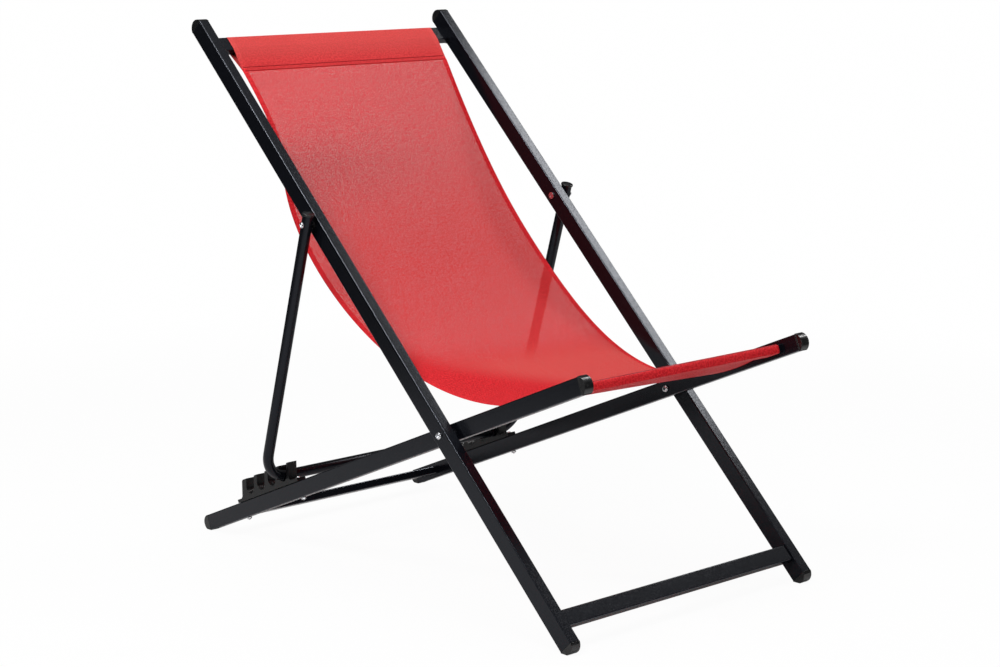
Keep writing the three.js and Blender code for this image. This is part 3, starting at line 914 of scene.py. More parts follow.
class TubeWork:
    """Shapes that both frames are made of."""

    ROUNDING: str = "rounding"
    EDGE_RADIUS: float = 2 * MM
    CAP_ROUNDING: float = 0.9 * MM
    BEAD: float = 1.6 * MM
    BEAD_RADIUS: float = 2.6 * MM
    RIPPLE: float = 0.7 * MM
    RIPPLE_LENGTH: float = 1.6 * MM

    @staticmethod
    def bar(name: str, size: Sequence[float], centre: Sequence[float], axis: int) -> Piece:
        """Models a straight rectangular tube with rounded long edges.

        Args:
            name: Name of the piece.
            size: Its outer sizes.
            centre: Its middle.
            axis: Number of the axis that it runs along.

        Returns:
            The object, in the frame's own axes.
        """
        piece = Bench.block(name, size, centre)
        Bench.round_edges(piece, TubeWork.EDGE_RADIUS, 5, Bench.along(axis))
        Bench.mark(piece, TubeWork.ROUNDING, lambda face: max(abs(part) for part in face.normal) < 0.98)
        return piece

    @staticmethod
    def cross_bar(
        shop: Assembly, name: str, size: Sequence[float], middle: Sequence[float], place: Matrix, body: Body
    ) -> None:
        """Models a bar between two rails, with a weld bead round each end.

        Args:
            shop: Takes the finished pieces.
            name: Name of the solid that the bar stands for.
            size: The bar's outer sizes.
            middle: Its middle in the frame's y and z.
            place: The frame's place.
            body: The frame's body.
        """
        shop.coat(TubeWork.bar(f"tube_{name}", size, (0.0, *middle), 0), place, body, name)
        for side in Side:
            end = (side.value * (size[0] / 2 - GAP), *middle)
            shop.coat(TubeWork.weld(f"weld_{name}_{side.word}", size[1:], end), place, body)

    @staticmethod
    def weld(name: str, section: Sequence[float], centre: Sequence[float]) -> Piece:
        """Models a weld bead round the end of a cross bar that runs along x.

        Args:
            name: Name of the piece.
            section: Sizes of the bar in y and z.
            centre: Middle of the bar's end.

        Returns:
            The object, in the frame's own axes.
        """
        size = (TubeWork.BEAD, section[0] + TubeWork.BEAD, section[1] + TubeWork.BEAD)
        piece = Bench.block(name, size, centre)
        Bench.round_edges(piece, TubeWork.BEAD_RADIUS, 4, Bench.along(0))
        Bench.pick(piece, "FACE", lambda face: True)
        Bench.run(piece, lambda: bpy.ops.mesh.subdivide(number_cuts=2))
        ripple = bpy.data.textures.new(name, "CLOUDS")
        ripple.noise_scale = TubeWork.RIPPLE_LENGTH
        Bench.apply(
            piece, "DISPLACE", texture=ripple, texture_coords="LOCAL", strength=TubeWork.RIPPLE, mid_level=0.5
        )
        return piece

    @staticmethod
    def domed_cap(
        name: str,
        width: float,
        depth: float,
        crown: float,
        skirt: float,
        x: float,
        seam: float,
        floor: Optional[Matrix] = None,
    ) -> Piece:
        """Models an end cap that is round across the tube's depth. It points along -z from its seam.

        Args:
            name: Name of the piece.
            width: Width in x.
            depth: Depth in y.
            crown: How far the round rises.
            skirt: Straight part between the seam and the round.
            x: Middle of the cap in x.
            seam: Height of the seam.
            floor: The frame's place, where the cap stands on the floor.

        Returns:
            The object, in the frame's own axes.
        """
        radius = (depth * depth / 4 + crown * crown) / (2 * crown)
        edge = seam - skirt
        piece = Bench.drum(name, radius, width, "X", (x, 0.0, edge - crown + radius), 128)
        Bench.cut(piece, (0.0, 0.0, edge), (0.0, 0.0, -1.0))
        if skirt > 0.0:
            Bench.pick(piece, "FACE", lambda face: face.normal.z > 0.99)
            Bench.run(piece, lambda: Bench.pull(0.0, 0.0, skirt))
        if floor is not None:
            back = floor.inverted()
            Bench.cut(piece, back @ Vector((0.0, 0.0, 0.0)), back.to_3x3() @ Vector((0.0, 0.0, 1.0)))
        Bench.soften(piece, TubeWork.CAP_ROUNDING, 3)
        return piece


@dataclass
class SubAssembly:
    """A group of pieces of the chair. The shop holds the materials and takes the finished pieces."""

    shop: Assembly


@dataclass
class BackFrame(SubAssembly):
    """Two long rails with a top bar and a foot bar between them."""

    outer_width: float = 580 * MM
    rail_width: float = 20 * MM
    rail_depth: float = 31 * MM
    rail_up: float = 884 * MM
    rail_down: float = 407 * MM
    top_bar: tuple[float, float] = (8 * MM, 844.5 * MM)
    foot_bar: tuple[float, float] = (-5 * MM, -364 * MM)
    bar_face: float = 29 * MM
    bar_thickness: float = 14.5 * MM
    crown: float = 12 * MM

    def build(self) -> None:
        """Models and dresses the back frame."""
        rail_x = (self.outer_width - self.rail_width) / 2
        rail = (self.rail_width, self.rail_depth, self.rail_up + self.rail_down)
        bar = (self.outer_width - 2 * (self.rail_width + GAP), self.bar_thickness, self.bar_face)
        middle = (self.rail_up - self.rail_down) / 2
        for side in Side:
            x = side.value * rail_x
            name = f"back_rail_{side.word}"
            tube = TubeWork.bar(f"tube_{name}", rail, (x, 0.0, middle), 2)
            self.shop.coat(tube, STANCE.back, Body.BACK, name)
            self._cap(f"foot_cap_{side.word}", x, -self.rail_down - GAP, 1.0)
            self._cap(f"back_cap_{side.word}", x, self.rail_up + GAP, -1.0)
        for name, place in (("top_bar", self.top_bar), ("foot_bar", self.foot_bar)):
            TubeWork.cross_bar(self.shop, name, bar, place, STANCE.back, Body.BACK)

    def _cap(self, name: str, x: float, seam: float, way: float) -> None:
        """Models one end cap.

        Args:
            name: Name of the solid that it stands for.
            x: Middle of the cap.
            seam: Place of its seam on the rail.
            way: 1 for the foot, -1 for the upper end.
        """
        flip = Matrix.Identity(4) if way > 0 else Matrix.Rotation(pi, 4, "Y")
        floor = STANCE.back if way > 0 else None
        cap = TubeWork.domed_cap(
            f"plug_{name}", self.rail_width, self.rail_depth, self.crown, 0.0, way * x, way * seam, floor
        )
        self.shop.plug(cap, STANCE.back @ flip, Body.BACK, name)


@dataclass
class SeatFrame(SubAssembly):
    """Two lower rails with a front bar, a rear bar and the end caps."""

    outer_x: float = 264.5 * MM
    rail_width: float = 19 * MM
    rail_height: float = 29 * MM
    rail_forward: float = 314 * MM
    rail_rearward: float = 727 * MM
    front_bar: tuple[float, float] = (-266 * MM, 0.0)
    rear_bar: tuple[float, float] = (673 * MM, 0.0)
    bar_face: float = 29 * MM
    bar_thickness: float = 14.5 * MM
    crown: float = 12 * MM
    heel_skirt: float = 4 * MM
    collar: float = 3.5 * MM
    collar_proud: float = 0.8 * MM
    collar_radius: float = 2.8 * MM
    collar_rounding: float = 0.5 * MM
    nose_crown: float = 8 * MM

    def build(self) -> None:
        """Models and dresses the seat frame."""
        rail_x = self.outer_x - self.rail_width / 2
        rail = (self.rail_width, self.rail_forward + self.rail_rearward, self.rail_height)
        bar = (2 * (self.outer_x - self.rail_width - GAP), self.bar_face, self.bar_thickness)
        middle = (self.rail_rearward - self.rail_forward) / 2
        for side in Side:
            x = side.value * rail_x
            name = f"seat_rail_{side.word}"
            tube = TubeWork.bar(f"tube_{name}", rail, (x, middle, 0.0), 1)
            self.shop.coat(tube, STANCE.seat, Body.SEAT, name)
            self._heel(side, x)
            self._nose(side, x)
        for name, place in (("front_bar", self.front_bar), ("rear_bar", self.rear_bar)):
            TubeWork.cross_bar(self.shop, name, bar, place, STANCE.seat, Body.SEAT)

    def _heel(self, side: Side, x: float) -> None:
        """Models the cap that a seat rail stands on.

        Args:
            side: The half of the chair.
            x: Middle of the rail.
        """
        turn = STANCE.seat @ Matrix.Rotation(pi / 2, 4, "X")
        seam = -(self.rail_rearward + GAP)
        name = f"heel_cap_{side.word}"
        cap = TubeWork.domed_cap(
            f"plug_{name}", self.rail_width, self.rail_height, self.crown, self.heel_skirt, x, seam, turn
        )
        self.shop.plug(cap, turn, Body.SEAT, name)

    def _nose(self, side: Side, x: float) -> None:
        """Models a front cap: a proud collar of a rim and a band, with a groove between, and a rounded nose.

        Args:
            side: The half of the chair.
            x: Middle of the rail.
        """
        turn = STANCE.seat @ Matrix.Rotation(-pi / 2, 4, "X")
        seam = -(self.rail_forward + GAP)
        wide = self.rail_width + 2 * self.collar_proud
        high = self.rail_height + 2 * self.collar_proud
        name = f"front_cap_{side.word}"
        parts = []
        for word, share, down in (("rim", 0.45, 0.225), ("band", 0.4, 0.8)):
            ring = Bench.block(word, (wide, high, self.collar * share), (x, 0.0, seam - self.collar * down))
            Bench.round_edges(ring, self.collar_radius, 4, Bench.along(2))
            Bench.soften(ring, self.collar_rounding, 3, 50.0)
            parts.append(ring)
        skirt = self.collar * 0.8
        low = seam - self.collar * 0.2
        parts.append(
            TubeWork.domed_cap("nose", self.rail_width, self.rail_height, self.nose_crown, skirt, x, low)
        )
        self.shop.plug(Bench.joined(f"plug_{name}", parts), turn, Body.SEAT, name)


@dataclass
class Racks(SubAssembly):
    """Notched plastic racks that are screwed to the seat rails."""

    rounding: float = 0.9 * MM
    merging: float = 0.02 * MM
    flatness: float = radians(1.5)

    def build(self) -> None:
        """Models and dresses both racks from their solids, with moulded edges."""
        for side in Side:
            name = f"rack_{side.word}"
            rack = Bench.copy(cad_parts[name], f"comb_{name}")
            Bench.pick(rack, "VERT", lambda point: True)
            Bench.run(
                rack,
                lambda: bpy.ops.mesh.remove_doubles(threshold=self.merging),
                lambda: bpy.ops.mesh.dissolve_limited(angle_limit=self.flatness),
            )
            Bench.soften(rack, self.rounding, 3, 40.0)
            Bench.settle(rack, Matrix.Identity(4), 38.0)
            self.shop.dress(rack, self.shop.finishes.rack, Slot.PLASTIC, Body.SEAT, [name])


@dataclass
class Prop(SubAssembly):
    """The bent tube that holds the back up, with a cap on each end."""

    leg_x: float = 303.5 * MM
    tube: float = 19 * MM
    bend: float = 50 * MM
    stub: float = 16 * MM
    cap_diameter: float = 22 * MM
    cap_height: float = 4.5 * MM
    cap_rounding: float = 1.3 * MM
    dish_rim: float = 1.4 * MM
    dish_depth: float = 0.5 * MM
    sides: int = 40
    bend_steps: int = 14
    merging: float = 0.01 * MM

    def length(self) -> float:
        """Distance from the pivots to the middle of the bar, from the tube's solid."""
        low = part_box("prop_tube")[0]
        pivot = STANCE.prop.translation
        return (pivot.z - low[2] - self.tube / 2) / cos(STANCE.prop_turn)

    def build(self) -> None:
        """Models and dresses the prop."""
        tube = Bench.settle(self._tube(), STANCE.prop, 50.0)
        self.shop.dress(tube, self.shop.finishes.coat, Slot.COAT, Body.PROP, ["prop_tube"])
        for side in Side:
            name = f"prop_cap_{side.word}"
            self.shop.plug(self._cap(f"plug_{name}", side.value * self.leg_x), STANCE.prop, Body.PROP, name)

    def _tube(self) -> Piece:
        """Models the tube: one ring, extruded down a leg, spun round a bend, and so on."""
        drop = self.length() - self.bend
        leg = drop + self.stub
        inner = self.leg_x - self.bend
        Bench.clear()
        bpy.ops.mesh.primitive_circle_add(
            vertices=self.sides,
            radius=self.tube / 2,
            fill_type="NGON",
            location=(-self.leg_x, 0.0, self.stub),
        )
        piece = Bench.named("tube_prop")
        bpy.ops.object.transform_apply(location=True, rotation=True, scale=True)
        Bench.pick(piece, "FACE", lambda face: True)

        def turn(x: float) -> None:
            """Spins the open end a quarter turn round the middle of a bend."""
            bpy.ops.mesh.spin(
                steps=self.bend_steps, angle=pi / 2, center=(x, 0.0, -drop), axis=(0.0, 1.0, 0.0), dupli=False
            )

        Bench.run(
            piece,
            lambda: Bench.pull(0.0, 0.0, -leg),
            lambda: turn(-inner),
            lambda: Bench.pull(2 * inner, 0.0, 0.0),
            lambda: turn(inner),
            lambda: Bench.pull(0.0, 0.0, leg),
            lambda: bpy.ops.mesh.select_all(action="SELECT"),
            lambda: bpy.ops.mesh.remove_doubles(threshold=self.merging),
            lambda: bpy.ops.mesh.normals_make_consistent(inside=False),
        )
        return piece

    def _cap(self, name: str, x: float) -> Piece:
        """Models a cap: a disc with a rolled rim and a shallow dish.

        Args:
            name: Name of the piece.
            x: Place of the tube.

        Returns:
            The object, in the prop's own axes.
        """
        height = self.cap_height - GAP
        centre = (x, 0.0, self.stub + GAP + height / 2)
        piece = Bench.drum(name, self.cap_diameter / 2, height, "Z", centre, 56)
        Bench.round_edges(piece, self.cap_rounding, 4, Bench.across(2))
        Bench.pick(piece, "FACE", lambda face: face.normal.z > 0.99)
        Bench.run(
            piece,
            lambda: bpy.ops.mesh.inset(thickness=self.dish_rim),
            lambda: Bench.pull(0.0, 0.0, -self.dish_depth),
        )
        return piece


@dataclass(frozen=True)
class Bolt:
    """Sizes of a bolt, a screw or a cap nut. The socket is measured across its flats."""

    head: float
    height: float
    shank: float
    length: float
    socket: float
    dome_share: float = 0.72
    socket_share: float = 0.62
    least_rim: float = 0.1 * MM
    shank_rounding: float = 0.5 * MM

    def model(self, name: str) -> Piece:
        """Models a domed head with a hexagon socket. It stands on height 0, with its shank below.

        Args:
            name: Name of the piece.

        Returns:
            The object, on local z.
        """
        rise = self.height - GAP
        rounding = rise * self.dome_share
        dome = Bench.drum(name, self.head / 2, rise, "Z", (0.0, 0.0, (self.height + GAP) / 2))
        Bench.round_edges(
            dome, rounding, 6, lambda middle, way: abs(way.z) < 0.1 and middle.z > self.height * 0.9
        )
        Bench.pick(dome, "FACE", lambda face: face.normal.z > 0.999)
        rim = max(self.head / 2 - rounding - self.socket * self.socket_share, self.least_rim)
        Bench.run(dome, lambda: bpy.ops.mesh.inset(thickness=rim))
        self._to_hexagon(dome)
        Bench.run(dome, lambda: Bench.pull(0.0, 0.0, -self.height / 2))
        middle = (0.0, 0.0, (GAP - self.length) / 2)
        stem = Bench.drum(f"{name}_stem", self.shank / 2, self.length + GAP, "Z", middle, 32)
        Bench.round_edges(
            stem, self.shank_rounding, 2, lambda middle, way: abs(way.z) < 0.1 and middle.z < 0.0
        )
        return Bench.joined(name, [dome, stem])

    def _to_hexagon(self, piece: Piece) -> None:
        """Draws the inner ring of a head's top into a hexagon and leaves its face selected.

        Args:
            piece: The head.
        """
        tops = (face for face in piece.data.polygons if face.normal.z > 0.999)
        face = max(tops, key=lambda top: len(top.vertices))
        for index in face.vertices:
            point = piece.data.vertices[index].co
            angle = atan2(point.y, point.x)
            reach = self.socket / 2 / cos((angle % (pi / 3)) - pi / 6)
            point.x, point.y = reach * cos(angle), reach * sin(angle)
        chosen = face.index
        Bench.pick(piece, "FACE", lambda p: p.index == chosen)


@dataclass(frozen=True)
class Ring:
    """Sizes of a washer, a spacer or a round nut."""

    outer: float
    bore: float
    height: float
    rounding: float = 0.35 * MM

    def model(self, name: str) -> Piece:
        """Models a flat ring that stands on height 0.

        Args:
            name: Name of the piece.

        Returns:
            The object, on local z.
        """
        piece = Bench.drum(name, self.outer / 2, self.height, "Z", (0.0, 0.0, self.height / 2))
        Bench.pick(piece, "FACE", lambda face: abs(face.normal.z) > 0.99)
        Bench.run(
            piece,
            lambda: bpy.ops.mesh.inset(thickness=(self.outer - self.bore) / 2, use_individual=True),
            lambda: bpy.ops.mesh.bridge_edge_loops(),
        )
        Bench.soften(piece, self.rounding, 2)
        return piece


@dataclass
class Fasteners(SubAssembly):
    """The chair's bolts, washers, nuts and screws."""

    outer_x: float = BackFrame.outer_width / 2
    back_inner_x: float = BackFrame.outer_width / 2 - BackFrame.rail_width
    seat_outer_x: float = SeatFrame.outer_x
    seat_inner_x: float = SeatFrame.outer_x - SeatFrame.rail_width
    seat_rail_x: float = SeatFrame.outer_x - SeatFrame.rail_width / 2
    rail_top: float = SeatFrame.rail_height / 2
    prop_grip: float = 23 * MM
    rack_height: float = 6.3 * MM
    cross_bolt: Bolt = Bolt(12 * MM, 4 * MM, 8 * MM, 47 * MM, 5 * MM)
    cross_nut: Bolt = Bolt(12 * MM, 5 * MM, 8.4 * MM, 0.4 * MM, 5 * MM)
    cross_washer: Ring = Ring(18 * MM, 8.6 * MM, 4.9 * MM)
    prop_bolt: Bolt = Bolt(10 * MM, 3.5 * MM, 6 * MM, 45 * MM, 4 * MM)
    prop_nut: Ring = Ring(12 * MM, 6.6 * MM, 2.2 * MM)
    prop_spacer: Ring = Ring(14 * MM, 6.6 * MM, 3.4 * MM)
    rack_screw: Bolt = Bolt(9 * MM, 2.6 * MM, 4.5 * MM, 40.3 * MM, 2.6 * MM)
    rack_nut_radius: float = 4.62 * MM
    rack_nut_height: float = 3.2 * MM
    rack_nut_rounding: float = 0.5 * MM

    def build(self) -> None:
        """Models and dresses every fastener."""
        cross = STANCE.back
        high = cross @ Matrix.Translation((0.0, 0.0, STANCE.prop_pivot_up))
        for side in Side:
            out = Matrix.Rotation(side.value * pi / 2, 4, "Y")
            inward = Matrix.Rotation(-side.value * pi / 2, 4, "Y")
            for model, sizes, place, reach, turn, node in (
                ("bolt_cross", self.cross_bolt, cross, self.outer_x, out, "cross_pin"),
                ("cap_nut_cross", self.cross_nut, cross, self.seat_inner_x, inward, "cross_nut"),
                ("washer_cross", self.cross_washer, cross, self.seat_outer_x + GAP, out, "cross_washer"),
                ("bolt_prop", self.prop_bolt, high, self.outer_x + self.prop_grip, out, "prop_bolt"),
                ("nut_prop", self.prop_nut, high, self.back_inner_x - GAP, inward, "prop_nut"),
                ("spacer_prop", self.prop_spacer, high, self.outer_x + GAP, out, "prop_spacer"),
            ):
                piece = sizes.model(f"{model}_{side.word}")
                seat = place @ Matrix.Translation((side.value * reach, 0.0, 0.0)) @ turn
                wear = self.shop.plug if sizes is self.prop_spacer else self.shop.plate
                wear(piece, seat, Body.BACK, f"{node}_{side.word}")
            self._rack_screws(side)

    def _rack_screws(self, side: Side) -> None:
        """Models the two screws of a rack, each with its nut under the rail.

        Args:
            side: The half of the chair.
        """
        back = STANCE.seat.inverted()
        x = side.value * self.seat_rail_x
        for end in ("front", "rear"):
            node = f"rack_screw_{end}_{side.word}"
            along = [(back @ point.co).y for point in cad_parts[node].data.vertices]
            axis_y = (min(along) + max(along)) / 2
            seat = STANCE.seat @ Matrix.Translation((x, axis_y, self.rail_top + self.rack_height))
            self.shop.plate(self.rack_screw.model(f"screw_{node}"), seat, Body.SEAT, node)
            name = f"rack_nut_{end}_{side.word}"
            centre = (0.0, 0.0, -self.rack_nut_height / 2)
            nut = Bench.drum(f"hex_{name}", self.rack_nut_radius, self.rack_nut_height, "Z", centre, 6)
            Bench.soften(nut, self.rack_nut_rounding, 2, 25.0)
            under = STANCE.seat @ Matrix.Translation((x, axis_y, -self.rail_top - GAP))
            self.shop.plate(nut, under, Body.SEAT, name)


@dataclass(frozen=True)
class Drape:
    """How one edge of the cloth hangs: its pull at each seam and the point that draws its middle."""

    back_angle: float
    back_pull: float
    middle: tuple[float, float]
    seat_angle: float
    seat_pull: float


@dataclass(frozen=True)
class Hem:
    """Side view of a hem in the chair's axes. Aside is a quarter turn on from along."""

    centre: np.ndarray
    along: np.ndarray
    aside: np.ndarray
    reach: float
    rise: float

    @classmethod
    def on_bar(
        cls, place: Matrix, bar: Sequence[float], inward: Sequence[float], reach: float, rise: float
    ) -> "Hem":
        """Lays out a hem.

        Args:
            place: The frame's place.
            bar: Middle of the bar in the frame's y and z.
            inward: Direction from the bar towards the cloth, in the frame's y and z.
            reach: Distance from the bar to the seam.
            rise: Offset of the seam along the hem's second direction.

        Returns:
            The hem.
        """
        centre = np.array((place @ Vector((0.0, *bar)))[1:])
        along = np.array((place.to_3x3() @ Vector((0.0, *inward)))[1:])
        return cls(centre, along, np.array((-along[1], along[0])), reach, rise)

    @property
    def seam(self) -> np.ndarray:
        """Side view place of the seam."""
        return self.centre + self.reach * self.along + self.rise * self.aside

    def drawn(self, angle: float, pull: float) -> np.ndarray:
        """Control point that the hem's first direction leads to once it is turned."""
        return self.seam + pull * (cos(angle) * self.along + sin(angle) * self.aside)


@dataclass
class Sling(SubAssembly):
    """The hanging cloth: a hem pocket round the top bar and one round the front bar.

    Its right edge hangs deeper in the back and its left edge deeper in the seat.
    """

    width: float = 476 * MM
    thickness: float = 0.2 * MM
    bar_face: float = BackFrame.bar_face
    bar_thickness: float = BackFrame.bar_thickness
    top_reach: float = 59 * MM
    top_rise: float = 1.3 * MM
    front_reach: float = 40 * MM
    front_rise: float = -4 * MM
    right_edge: Drape = Drape(radians(2.45), 355.2 * MM, (459.2 * MM, 800 * MM), radians(2.67), 523.2 * MM)
    left_edge: Drape = Drape(radians(14.7), 521.2 * MM, (122.5 * MM, 634.8 * MM), radians(-6.59), 425.5 * MM)
    clearance: float = 0.55 * MM
    corner: float = 3 * MM
    corner_steps: int = 6
    hem_flat: float = 4 * MM
    lay_share: float = 0.62
    bend_from: float = 0.5
    columns: int = 64
    rows: tuple[int, int, int] = (33, 228, 29)
    curve_points: int = 240
    stitch_rows: tuple[float, float] = (1.5 * MM, 9 * MM)
    stitch_length: float = 3.4 * MM
    stitch_pitch: float = 4 * MM
    stitch_margin: float = 8 * MM
    thread_radius: float = 0.5 * MM
    thread_lift: float = 0.1 * MM

    def build(self) -> None:
        """Models and dresses the cloth and its seams."""
        top = Hem.on_bar(STANCE.back, BackFrame.top_bar, (0.0, -1.0), self.top_reach, self.top_rise)
        front = Hem.on_bar(STANCE.seat, SeatFrame.front_bar, (1.0, 0.0), self.front_reach, self.front_rise)
        edges = [self._path(drape, top, front) for drape in (self.right_edge, self.left_edge)]
        lengths = [self._gone(edge) for edge in edges]
        cloth = self._cloth(edges, lengths)
        self.shop.dress(cloth, self.shop.finishes.cloth, Slot.CLOTH, None, ["sling"])
        rows = self._seams(top, front)
        LOG.info("sling edges: %.4f and %.4f m long", lengths[0][-1], lengths[1][-1])
        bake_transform(cloth)

    def _wrap(self, hem: Hem) -> np.ndarray:
        """Side view path of a hem, from its seam round the bar and back to the seam.

        Args:
            hem: The hem.

        Returns:
            The path's points: first the layer on the lower side of aside, last the upper one.
        """
        margin = self.clearance + self.thickness / 2
        across = self.bar_face / 2 + margin - self.corner
        out = self.bar_thickness / 2 + margin
        lay = self.thickness * self.lay_share
        flat = hem.reach - self.hem_flat
        outline = [(hem.reach, hem.rise - lay), (flat, hem.rise - lay), (across, -out)]
        for start, height in ((-pi / 2, self.corner - out), (-pi, out - self.corner)):
            for count in range(self.corner_steps + 1):
                angle = start - count / self.corner_steps * pi / 2
                outline.append((self.corner * cos(angle) - across, self.corner * sin(angle) + height))
        outline += [(across, out), (flat, hem.rise + lay), (hem.reach, hem.rise + lay)]
        points = np.array(outline)
        return hem.centre + points[:, :1] * hem.along + points[:, 1:] * hem.aside

    def _path(self, drape: Drape, top: Hem, front: Hem) -> np.ndarray:
        """Side view path of one edge of the cloth, in rows that match those of the other edge.

        Args:
            drape: How the edge hangs.
            top: The top hem.
            front: The front hem.

        Returns:
            Points in y and z, from the rear layer of the top hem to the lower layer of the front hem.
        """
        points = (
            top.seam,
            top.drawn(drape.back_angle, drape.back_pull),
            np.array(drape.middle),
            front.drawn(drape.seat_angle, drape.seat_pull),
            front.seam,
        )
        share = np.linspace(0.0, 1.0, self.curve_points)[:, None]
        curve = sum(comb(4, i) * share**i * (1 - share) ** (4 - i) * point for i, point in enumerate(points))
        upper = self._wrap(top)[::-1]
        lower = self._wrap(front)[::-1]
        rough = np.concatenate((upper, curve[4:-4], lower))
        gone = self._gone(rough)
        stops = (0.0, gone[len(upper) - 1], gone[-len(lower)], gone[-1])
        even = np.concatenate(
            [np.linspace(stops[i], stops[i + 1], count, endpoint=i == 2) for i, count in enumerate(self.rows)]
        )
        return np.column_stack([np.interp(even, gone, rough[:, axis]) for axis in (0, 1)])

    @staticmethod
    def _gone(path: np.ndarray) -> np.ndarray:
        """Distance of each point of a path from its start."""
        return np.concatenate(([0.0], np.cumsum(np.hypot(*np.diff(path, axis=0).T))))

    def _cloth(self, edges: Sequence[np.ndarray], lengths: Sequence[np.ndarray]) -> Piece:
        """Models the cloth from a grid that is stretched between its two edges.

        Args:
            edges: Side view paths of the right and the left edge.
            lengths: Distance along each edge of its points.

        Returns:
            The cloth, with a UV map in metres.
        """
        last = len(edges[0]) - 1
        Bench.clear()
        bpy.ops.mesh.primitive_grid_add(x_subdivisions=self.columns, y_subdivisions=last, size=1.0)
        piece = Bench.named("sling_cloth")
        mesh = piece.data
        flat = np.empty(len(mesh.vertices) * 3)
        mesh.vertices.foreach_get("co", flat)
        flat = flat.reshape(-1, 3)
        row = np.rint((flat[:, 1] + 0.5) * last).astype(int)
        across = flat[:, 0] * self.width
        share = flat[:, 0] + 0.5
        side = edges[0][row] * (1.0 - share)[:, None] + edges[1][row] * share[:, None]
        along = lengths[0][row] * (1.0 - share) + lengths[1][row] * share
        mesh.vertices.foreach_set("co", np.column_stack((across, side)).ravel())
        mesh.update()
        loops = np.empty(len(mesh.loops), dtype=int)
        mesh.loops.foreach_get("vertex_index", loops)
        for layer in list(mesh.uv_layers):
            mesh.uv_layers.remove(layer)
        layer = mesh.uv_layers.new(name="cloth")
        layer.data.foreach_set("uv", np.column_stack((across[loops], along[loops])).ravel())
        Bench.apply(piece, "SOLIDIFY", thickness=self.thickness, offset=0.0, use_even_offset=False)
        bpy.ops.object.shade_smooth_by_angle(angle=radians(60), keep_sharp_edges=False)
        return piece

    def _seams(self, top: Hem, front: Hem) -> list[Piece]:
        """Models the rows of stitches at both hems.

        Args:
            top: The top hem.
            front: The front hem.

        Returns:
            The rows of stitches.
        """
        rows = []
        for name, hem, body in (("top", top, Body.BACK), ("front", front, Body.SEAT)):
            for count, back in enumerate(self.stitch_rows):
                for face, way in (("upper", 1.0), ("lower", -1.0)):
                    lift = self._lift(hem, back, way) * way
                    point = hem.seam - back * hem.along + lift * hem.aside
                    stitch = self._row(f"stitch_{name}_{face}_{count + 1}", point)
                    self.shop.dress(stitch, self.shop.finishes.thread, Slot.CLOTH, body)
                    rows.append(stitch)
        return rows

    def _lift(self, hem: Hem, back: float, way: float) -> float:
        """Distance of a hem's outer face from its seam's middle.

        Args:
            hem: The hem.
            back: Distance from the seam.
            way: 1 for the upper face, -1 for the lower one.

        Returns:
            The distance, with a little for the thread.
        """
        margin = self.clearance + self.thickness / 2
        lay = self.thickness * self.lay_share
        run = hem.reach - self.hem_flat - (self.bar_face / 2 + margin - self.corner)
        slope = (self.bar_thickness / 2 + margin - hem.rise * way - lay) / run
        return lay + self.thickness / 2 + slope * max(back - self.hem_flat, 0.0) + self.thread_lift

    def _row(self, name: str, point: np.ndarray) -> Piece:
        """Models a row of stitches: one stitch, shaped once and arrayed across the cloth.

        Args:
            name: Name of the piece.
            point: Side view place of the row.

        Returns:
            The row.
        """
        count = int((self.width - self.stitch_margin) / self.stitch_pitch)
        start = -self.stitch_pitch * (count - 1) / 2
        piece = Bench.drum(name, self.thread_radius, self.stitch_length, "X", (start, 0.0, 0.0), 6)
        Bench.round_edges(piece, self.thread_radius * 0.6, 1, Bench.across(0))
        Bench.apply(
            piece,
            "ARRAY",
            count=count,
            use_relative_offset=False,
            use_constant_offset=True,
            constant_offset_displace=(self.stitch_pitch, 0.0, 0.0),
        )
        return Bench.settle(piece, Matrix.Translation((0.0, *point)), 60.0)


@dataclass(frozen=True)
class Softbox:
    """A rectangular lamp that faces its aim. Power is in watts, and roll turns its face, in radians."""

    name: str
    place: tuple[float, float, float]
    aim: tuple[float, float, float]
    size: tuple[float, float]
    power: float
    roll: float = 0.0

    def build(self) -> None:
        """Hangs the lamp in its place."""
        light = bpy.data.lights.new(self.name, "AREA")
        light.shape = "RECTANGLE"
        light.size, light.size_y = self.size
        light.energy = self.power
        lamp = bpy.data.objects.new(self.name, light)
        lamp.location = self.place
        facing = (Vector(self.aim) - Vector(self.place)).to_track_quat("-Z", "Y")
        lamp.rotation_euler = (facing @ Quaternion((0.0, 0.0, 1.0), self.roll)).to_euler()
        bpy.context.scene.collection.objects.link(lamp)


